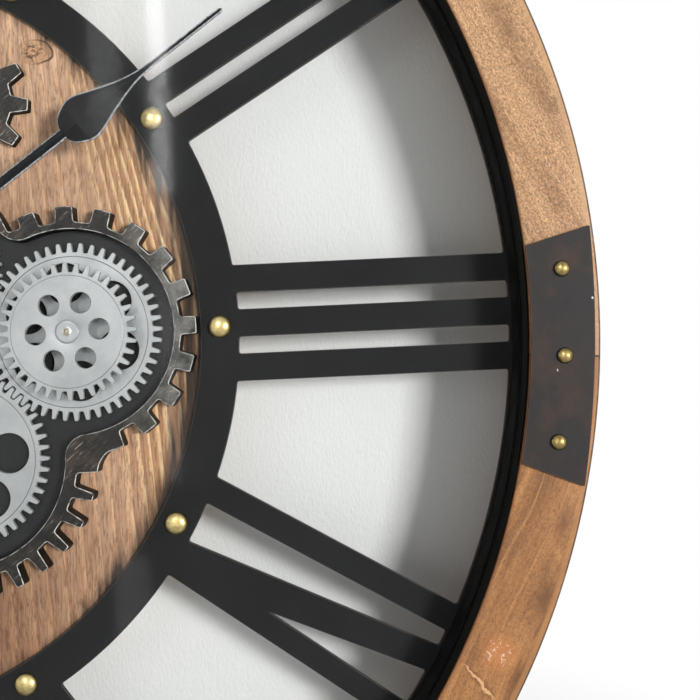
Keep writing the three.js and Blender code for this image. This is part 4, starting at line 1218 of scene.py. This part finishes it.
STEM_HALF = 2.75
EYE = 9
SPADE = 101.5
SPADE_CURVE = (
    (0, 2.75), (0.6, 5.2), (2.6, 7.9), (5.6, 9.8), (9.0, 11.3), (13.0, 12.0), (17.0, 11.2), (22.0, 9.3),
    (28.0, 7.2), (34.0, 5.2), (42.0, 3.0), (50.0, 1.8), (60.0, 1.35), (80.0, 1.25), (99.0, 1.2),
    (100.8, 0.8), (101.5, 0.1),
)
CREASE = 0.6
SPADE_HALF = 12
EDGE_RUB = 0.55
HAND_EASE = 0.18
HAND_SHARP = 12


def smooth_curve(points, steps):
    """A soft line through the points, with level slopes where it turns back."""
    out = []
    for i in range(len(points) - 1):
        (x0, y0), (x1, y1) = points[i], points[i + 1]
        slopes = []
        for j in (i, i + 1):
            before, after = points[max(j - 1, 0)], points[min(j + 1, len(points) - 1)]
            slopes.append((after[1] - before[1]) / (after[0] - before[0]))
        for s in range(steps):
            t = s / steps
            h = x1 - x0
            out.append((
                x0 + h * t,
                (1 + 2 * t) * (1 - t) ** 2 * y0 + t * (1 - t) ** 2 * h * slopes[0]
                + t * t * (3 - 2 * t) * y1 - t * t * (1 - t) * h * slopes[1],
            ))
    return out + [points[-1]]


def hand(name, hand_node, body, length, clockwise, bore):
    back, front = depths(hand_node)
    spade_at = length - SPADE
    stations = [(EYE - 1.0, STEM_HALF)] + [(spade_at + v, w) for v, w in smooth_curve(SPADE_CURVE, 5)]
    swing = Matrix.Rotation(-math.radians(clockwise), 2)
    bm = bmesh.new()
    rings = []
    for v, w in stations:
        rub = min(EDGE_RUB, 0.45 * w)
        dip = CREASE * min(1.0, w / SPADE_HALF)
        slope = 2 * dip / (w - rub)
        near_rub = front + dip - slope * (w - 1.3 * rub)
        section = (
            (-w, back - dip, 0), (0, back + dip, 0), (w, back - dip, 0), (w, front - dip + 0.2, 1),
            (w - rub, front - dip, 1), (w - 1.3 * rub, near_rub, 0), (0, front + dip, 0),
            (1.3 * rub - w, near_rub, 0), (rub - w, front - dip, 1), (-w, front - dip + 0.2, 1),
        )
        flats = [swing @ Vector((u, v)) for u, _, _ in section]
        rings.append(marked(bm, "worn", [(p.x, y, p.y, bare) for p, (_, y, bare) in zip(flats, section)]))
    skinned(bm, rings)
    bm.faces.new(rings[0])
    bm.faces.new(rings[-1])
    slab(bm, [round_outline(EYE, 56), round_outline(bore, 32)[::-1]], eased(back, front, HAND_EASE))
    piece(name, bm, [hand_black], [hand_node], body, HAND_SHARP)


PIPE = 3.0
ARBOR = 1.6
RUN = 0.3
HOUR_LENGTH = 192
HOUR_CLOCKWISE = 304.5
MINUTE_LENGTH = 270
MINUTE_CLOCKWISE = 54.1
hand("hour_hand_spade", "hour_hand", "hour_hand_set", HOUR_LENGTH, HOUR_CLOCKWISE, PIPE + RUN)
minute_bore = ARBOR + RUN
hand("minute_hand_spade", "minute_hand", "minute_hand_set", MINUTE_LENGTH, MINUTE_CLOCKWISE, minute_bore)

# Hand cap, arbor, pipe and nut: the turned parts on the axis of the hands.
# The cap is pressed on the arbor, and the brass nut holds the movement to the tray.
CAP = 5
back, front = depths("hand_cap")
bm = bmesh.new()
cap_dome = [(CAP, front + 0.7), (CAP - 0.3, front + 0.3), (CAP - 1, front + 0.08), (CAP - 2, front)]
turned(bm, [(0, back), (CAP, back), *cap_dome, (0, front)], steps=48)
piece("hand_cap_turned", bm, [hand_black], ["hand_cap"], "minute_hand_set")
back, front = depths("minute_arbor")
bm = bmesh.new()
tube(bm, 0, ARBOR, back, front)
piece("minute_arbor_pin", bm, [steel], ["minute_arbor"], "minute_hand_set")
back, front = depths("hour_pipe")
bm = bmesh.new()
tube(bm, minute_bore, PIPE, back, front, steps=32)
piece("hour_pipe_tube", bm, [brass], ["hour_pipe"], "hour_hand_set")
NUT = 8
NUT_BORE = 5.3
NUT_CORNER = 1.0
NUT_EASE = 0.25
back, front = depths("fixing_nut")
bm = bmesh.new()
nut_outline = rounded(round_outline(NUT, 6), NUT_CORNER)
slab(bm, [nut_outline, round_outline(NUT_BORE, 40)[::-1]], eased(back, front, NUT_EASE))
piece("fixing_nut_hex", bm, [brass], ["fixing_nut"])

# Glass: one round of clear float glass, its edge held in the groove of a rubber gasket.
# It is coated to mirror very little. Each face mirrors from outside only, so no light is caught in it.
clear_glass = bpy.data.materials.new("float_glass")
clear_glass.use_nodes = True
tree = clear_glass.node_tree
tree.nodes.clear()
see_through = node(tree, "BsdfTransparent", {"Color": (0.985, 0.99, 0.987, 1)})
shine = node(tree, "BsdfGlossy", {"Color": (1, 1, 1, 1), "Roughness": 0.06})
outside = calc("SUBTRACT", 1.0, node(tree, "NewGeometry").outputs["Backfacing"])
share = times(outside, node(tree, "Fresnel", {"IOR": 1.086}).outputs[0])
glass_mix = node(tree, "MixShader", {0: share, 1: see_through.outputs[0], 2: shine.outputs[0]})
node(tree, "OutputMaterial", {"Surface": glass_mix.outputs[0]})
GASKET_OUTER = RIM_INNER - 0.5
GROOVE = GASKET_OUTER - 1.3
LIP = GROOVE - 2.2
GLASS_EASE = 0.3
GASKET_EASE = 0.25
back, front = depths("glass")
bm = bmesh.new()
slab(bm, [round_outline(GROOVE - 0.5, 180)], chamfered(back, front, GLASS_EASE))
piece("glass_disc", bm, [clear_glass], ["glass"])

rubber, surface, where = finish("gasket_rubber", specular_ior_level=0.02)
bloom = noise(where, 60, 4, 0.6)
fine = noise(where, 1500, 2, 0.6)
colour = shade(bloom, (8, 8, 8), (14, 14, 12))
wear(surface, colour, shade(bloom, 0.45, 0.62), bump(fine, 0.00005, 0.3))
groove_back, groove_front = back + RUN, front - RUN
back, front = depths("glass_gasket")
bm = bmesh.new()
gasket_section = [
    (GASKET_OUTER, back),
    (GASKET_OUTER, front),
    (LIP + 0.5, front),
    (LIP, groove_front),
    (GROOVE, groove_front),
    (GROOVE, groove_back),
    (LIP, groove_back),
    (LIP, back),
]
turned(bm, rounded(gasket_section, GASKET_EASE, 2), steps=180)
piece("gasket_strip", bm, [rubber], ["glass_gasket"])

# Quartz movement and gear drive: two moulded cases screwed behind the board, each with an AA cell.
# The cell lies in an open bay at the back. A knurled knob sets the hands.


def moulded(name, deep, pale):
    """Plastic from a mould with a fine spark texture."""
    made, surface, where = finish(name, specular_ior_level=0.4)
    spark = noise(where, 1300, 3, 0.6)
    haze = noise(where, 40, 4, 0.6)
    colour = shade(haze, deep, pale)
    wear(surface, colour, shade(spark, 0.46, 0.62), bump(spark, 0.00008, 0.5))
    return made


black_plastic = moulded("moulded_black", (30, 30, 32), (42, 42, 44))
knob_plastic = moulded("moulded_grey", (92, 93, 95), (112, 113, 115))

SQUARE = ((-1, -1), (1, -1), (1, 1), (-1, 1))


def oblong(width, height, centre, radius, steps=6):
    loop = [Vector((centre[0] + u * width / 2, centre[1] + v * height / 2)) for u, v in SQUARE]
    return rounded(loop, radius, steps)


CELL_RADIUS = 7.0
CELL_LENGTH = 51.4
CELL_STEPS = 40
BAY_WIDTH = CELL_LENGTH + 2 * RUN
BAY_HEIGHT = 2 * (CELL_RADIUS + RUN)
SIDE_WALL = 2
CASE_HEIGHT = 56
CASE_WIDTH = BAY_WIDTH + 2 * SIDE_WALL
BAY_UP = SIDE_WALL + BAY_HEIGHT / 2 - CASE_HEIGHT / 2
FRONT_WALL = 1.2
CASE_CORNER = 3
BAY_CORNER = 1
LID_CORNER = 2
LID_SIDES = 7
LID_ENDS = 9
SCREW_INSET = 9
SCREW = 2.6
SCREW_HEAD = 0.45
BUSH = 5
KNOB_AT = 14
KNOB = 6.0
KNURL = 5.6
KNOB_STEM = 1.6
KNOB_HEIGHT = 2.7
KNOB_GRIP = 8.0
KNOB_GRIP_WIDTH = 1.4
for case_node, spot_at in (("movement_case", (0, 0)), ("drive_case", gear_spot["lower"])):
    back = depths(case_node)[0]
    front = depths("centre_board")[0] + RUN
    bm = bmesh.new()
    outside = wall(bm, oblong(CASE_WIDTH, CASE_HEIGHT, spot_at, CASE_CORNER), [
        (front, 0.6), (front + 0.6, 0), (back - 0.9, 0), (back - 0.25, 0.25), (back, 0.9),
    ])
    bay_spot = (spot_at[0], spot_at[1] + BAY_UP)
    bay = wall(bm, oblong(BAY_WIDTH, BAY_HEIGHT, bay_spot, BAY_CORNER)[::-1], [
        (front + FRONT_WALL, 0), (back - 0.4, 0), (back, 0.35),
    ])
    lid_spot = (spot_at[0], spot_at[1] + BAY_HEIGHT / 2)
    lid_height = CASE_HEIGHT - BAY_HEIGHT - LID_ENDS
    seam = wall(bm, oblong(CASE_WIDTH - LID_SIDES, lid_height, lid_spot, LID_CORNER), [
        (back, -0.5), (back - 0.5, 0), (back - 0.5, 0.9), (back, 1.4),
    ])
    cap(bm, [outside[0]])
    cap(bm, [bay[0]])
    cap(bm, [outside[-1], bay[-1], seam[0]])
    cap(bm, [seam[-1]])
    before_screws = len(bm.faces)
    head = back + SCREW_HEAD
    screw = [(0, back - 0.3), (SCREW, back - 0.3), (SCREW, head - 0.2), (SCREW - 0.4, head), (0, head)]
    for u in (-1, 1):
        screw_right = spot_at[0] + u * (CASE_WIDTH / 2 - SCREW_INSET)
        screw_at = (screw_right, spot_at[1] + CASE_HEIGHT / 2 - SCREW_INSET)
        turned(bm, screw, screw_at, steps=24)
    for face in list(bm.faces)[before_screws:]:
        face.material_index = 1
    if case_node == "movement_case":
        nose = depths(case_node)[1]
        hole = PIPE + RUN
        foot = front + 0.5
        bush = [(hole, foot), (BUSH, foot), (BUSH, nose + 0.4), (BUSH - 0.4, nose), (hole, nose)]
        turned(bm, bush, steps=36)
    piece(case_node + "_shell", bm, [black_plastic, steel], [case_node])

back, front = depths("setting_knob")
knob_at = (KNOB_AT, KNOB_AT)
knob_front = back - KNOB_HEIGHT
bm = bmesh.new()
knob_outline = [polar(KNOB if i % 4 < 2 else KNURL, 360 * i / 96, knob_at) for i in range(96)]
slab(bm, [knob_outline], [(knob_front, 0.2), (knob_front + 0.2, 0), (back - 0.3, 0), (back, 0.35)])
slab(bm, [oblong(KNOB_GRIP, KNOB_GRIP_WIDTH, knob_at, 0.6)], [(back - 0.4, 0), (back - 0.02, 0.1)])
tube(bm, 0, KNOB_STEM, front, knob_front + 0.1, knob_at)
piece("setting_knob_turned", bm, [knob_plastic], ["setting_knob"], "setting_knob")

cell_jacket, surface, where = finish("cell_sleeve", specular_ior_level=0.5)
print_haze = noise(where, 300, 3, 0.6)
end_share = node(where.id_data, "Attribute", attribute_name="along").outputs["Fac"]
colour = ramp(end_share, (0.0, (176, 178, 180)), (0.03, (34, 56, 92)), (0.72, (34, 56, 92)),
              (0.725, (196, 156, 84)), (0.965, (196, 156, 84)), (0.97, (190, 192, 194)))
colour.node.color_ramp.interpolation = "CONSTANT"
wear(surface, colour, shade(print_haze, 0.24, 0.34), bump(print_haze, 0.00003, 0.3))


def cell(name, cell_node):
    low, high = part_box(cell_node)
    middle = (low + high) / 2 / MM
    half = CELL_LENGTH / 2
    profile = (
        (0, -half), (6.2, -half), (6.8, -half + 0.4), (CELL_RADIUS, -half + 1.0), (CELL_RADIUS, half - 2.6),
        (6.7, half - 1.9), (6.0, half - 1.5), (2.8, half - 1.4), (2.8, half - 0.2), (2.5, half), (0, half),
    )
    bm = bmesh.new()
    rings = []
    for i in range(CELL_STEPS):
        angle = math.tau * i / CELL_STEPS
        away, up = math.cos(angle), math.sin(angle)
        rings.append(marked(bm, "along", [
            (middle.x + x, middle.y + r * away, middle.z + r * up, (x + half) / CELL_LENGTH)
            for r, x in profile
        ]))
    skinned(bm, rings + rings[:1], 1)
    piece(name, bm, [cell_jacket], [cell_node])


cell("clock_cell_sleeve", "clock_cell")
cell("drive_cell_sleeve", "drive_cell")

# Hanger plate: a flat steel plate let into the back of the rim at the top, with a keyhole.
# Two countersunk screws hold it.
HANGER_WIDTH = 70
HANGER_CORNER = 2
HANGER_SCREW = 3.6
CROSS_LONG = 4.2
CROSS_WIDE = 0.8
KEYHOLE = 4.5
KEYHOLE_SLOT = 2.4
KEYHOLE_EDGE = 2.2
hanger_low, hanger_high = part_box("hanger_plate")
hanger_bottom, hanger_top = hanger_low.z / MM, hanger_high.z / MM
back, front = depths("hanger_plate")
keyhole_low = hanger_bottom + KEYHOLE_EDGE + KEYHOLE
keyhole_high = hanger_top - KEYHOLE_EDGE - KEYHOLE_SLOT
meet = math.degrees(math.acos(KEYHOLE_SLOT / KEYHOLE))
keyhole = [
    *arc(KEYHOLE_SLOT, 0, 180, 12, (0, keyhole_high)),
    *arc(KEYHOLE, 180 - meet, 360 + meet, 30, (0, keyhole_low)),
]
plate_middle = (0, (hanger_bottom + hanger_top) / 2)
plate_outline = oblong(HANGER_WIDTH, hanger_top - hanger_bottom, plate_middle, HANGER_CORNER)
bm = bmesh.new()
slab(bm, [plate_outline, keyhole[::-1]], [(front, 0.15), (front + 0.15, 0), (back - 0.2, 0), (back, 0.2)])
piece("hanger_plate_steel", bm, [steel], ["hanger_plate"])
bm = bmesh.new()
for u in (-1, 1):
    screw_at = (u * (HANGER_WIDTH / 2 - SCREW_INSET), plate_middle[1])
    head = round_outline(HANGER_SCREW, 32, screw_at)
    slab(bm, [head], [(back - 1.2, 0.8), (back - 0.05, 0), (back + 0.1, 0.35)])
    for width, height in ((CROSS_LONG, CROSS_WIDE), (CROSS_WIDE, CROSS_LONG)):
        slab(bm, [oblong(width, height, screw_at, 0.2, 2)], [(back - 0.3, 0), (back + 0.14, 0)])
piece("hanger_screws", bm, [brass])

# Stage: a pale painted wall right behind the clock, seen through the dial, and a pale floor.
# The wall shows only from in front, and lets light through to the back of the board, so the back
# of the clock can be looked at too.
WALL_RADIUS = 374
WALL_OPENING = 206
STAGE_GAP = 0.6
FLOOR_REACH = 2.5


def seen_directly(tree):
    """1 for what the eye, shiny things and clear things see, 0 for light that only falls on the object."""
    path = node(tree, "LightPath").outputs
    seen = calc("MAXIMUM", path["Is Camera Ray"], path["Is Glossy Ray"])
    return calc("MAXIMUM", seen, path["Is Transmission Ray"])


def shown_instead(surface, share, other):
    """Lets another shader take the place of the surface by that share."""
    tree = surface.id_data
    both = node(tree, "MixShader", {0: share, 1: surface.outputs[0], 2: other.outputs[0]})
    tree.links.new(both.outputs[0], tree.nodes["Material Output"].inputs["Surface"])


def sheet(name, corners, material):
    mesh = bpy.data.meshes.new(name)
    mesh.from_pydata(corners, [], [range(len(corners))])
    mesh.materials.append(material)
    return placed(name, mesh)


wall_paint, surface, where = finish("wall_paint", base_color=(0.78, 0.78, 0.77, 1), roughness=0.75)
tree = surface.id_data
wear(surface, normal=bump(drawn(where, (700, 700, 330), 3, 0.6), 0.0005, 0.65))
opening = calc("LESS_THAN", from_axis(where), WALL_OPENING * MM)
opening = times(calc("SUBTRACT", 1.0, seen_directly(tree)), opening)
gone = calc("MAXIMUM", opening, node(tree, "NewGeometry").outputs["Backfacing"])
shown_instead(surface, gone, node(tree, "BsdfTransparent"))
wall_at = (depths("rim_upper_right")[0] + STAGE_GAP) * MM
wall_edge = [(p.x * MM, wall_at, p.y * MM) for p in round_outline(WALL_RADIUS, 128)]

floor_pale, surface, where = finish("floor_pale", base_color=(0.9, 0.9, 0.9, 1), roughness=0.8)
tree = surface.id_data
far_off = ramp(vector("LENGTH", stretch(where, (1, 1, 0))), (0.25, 0.0), (0.75, 1.0))
glow = node(tree, "Emission", {"Color": (1, 1, 1, 1), "Strength": 1.0})
shown_instead(surface, times(far_off, seen_directly(tree)), glow)
floor_up = cad_box[0].z - STAGE_GAP * MM
floor_edge = [(u * FLOOR_REACH, v * FLOOR_REACH, floor_up) for u, v in SQUARE]
sheet("wall_behind", wall_edge, wall_paint)
sheet("floor", floor_edge, floor_pale)

# Light: a soft key from the right, weak fills, and four small lamps that only shiny things mirror.
# The world is white to the eye and to shiny things, and lights the rest at a plain level.


def lamp(name, place, aim, width, height, power, mirrored_only=False):
    data = bpy.data.lights.new(name, "AREA")
    data.shape = "RECTANGLE"
    data.size = width
    data.size_y = height
    data.energy = power
    made = placed(name, data)
    made.visible_diffuse = not mirrored_only
    made.location = place
    made.rotation_euler = (Vector(aim) - Vector(place)).to_track_quat("-Z", "Y").to_euler()


lamp("key", (2.31, -2.37, 0.19), (0.2, 0, 0), 0.7, 0.7, 92)
lamp("fill", (-1.2, -1.8, 0.3), (0.1, 0, 0), 1.0, 1.0, 2)
lamp("left_fill", (-2.2, 0.1, 0.4), (0, 0, 0), 1.0, 1.0, 14)
lamp("back_fill", (-0.1, 2.3, 0.3), (0, 0, 0), 0.9, 0.9, 40)
lamp("slim_lamp", (-0.253, -2.0, 0.79), (0.186, 0, 0.128), 0.047, 0.63, 13, True)
lamp("wide_lamp", (-0.408, -2.0, 0.85), (0.16, 0, 0.13), 0.088, 0.4, 3.6, True)
lamp("dim_lamp", (-0.253, -2.0, 0.053), (0.186, 0, 0.01), 0.047, 0.866, 3.1, True)
lamp("low_lamp", (-0.04, -0.75, -0.345), (0.163, 0, -0.135), 0.045, 0.1, 0.23, True)
world = bpy.data.worlds.new("studio")
world.use_nodes = True
scene.world = world
tree = world.node_tree
level = mix(seen_directly(tree), (0.24, 0.24, 0.24, 1), (1, 1, 1, 1))
tree.links.new(level, tree.nodes["Background"].inputs["Color"])
scene.view_settings.view_transform = "Standard"
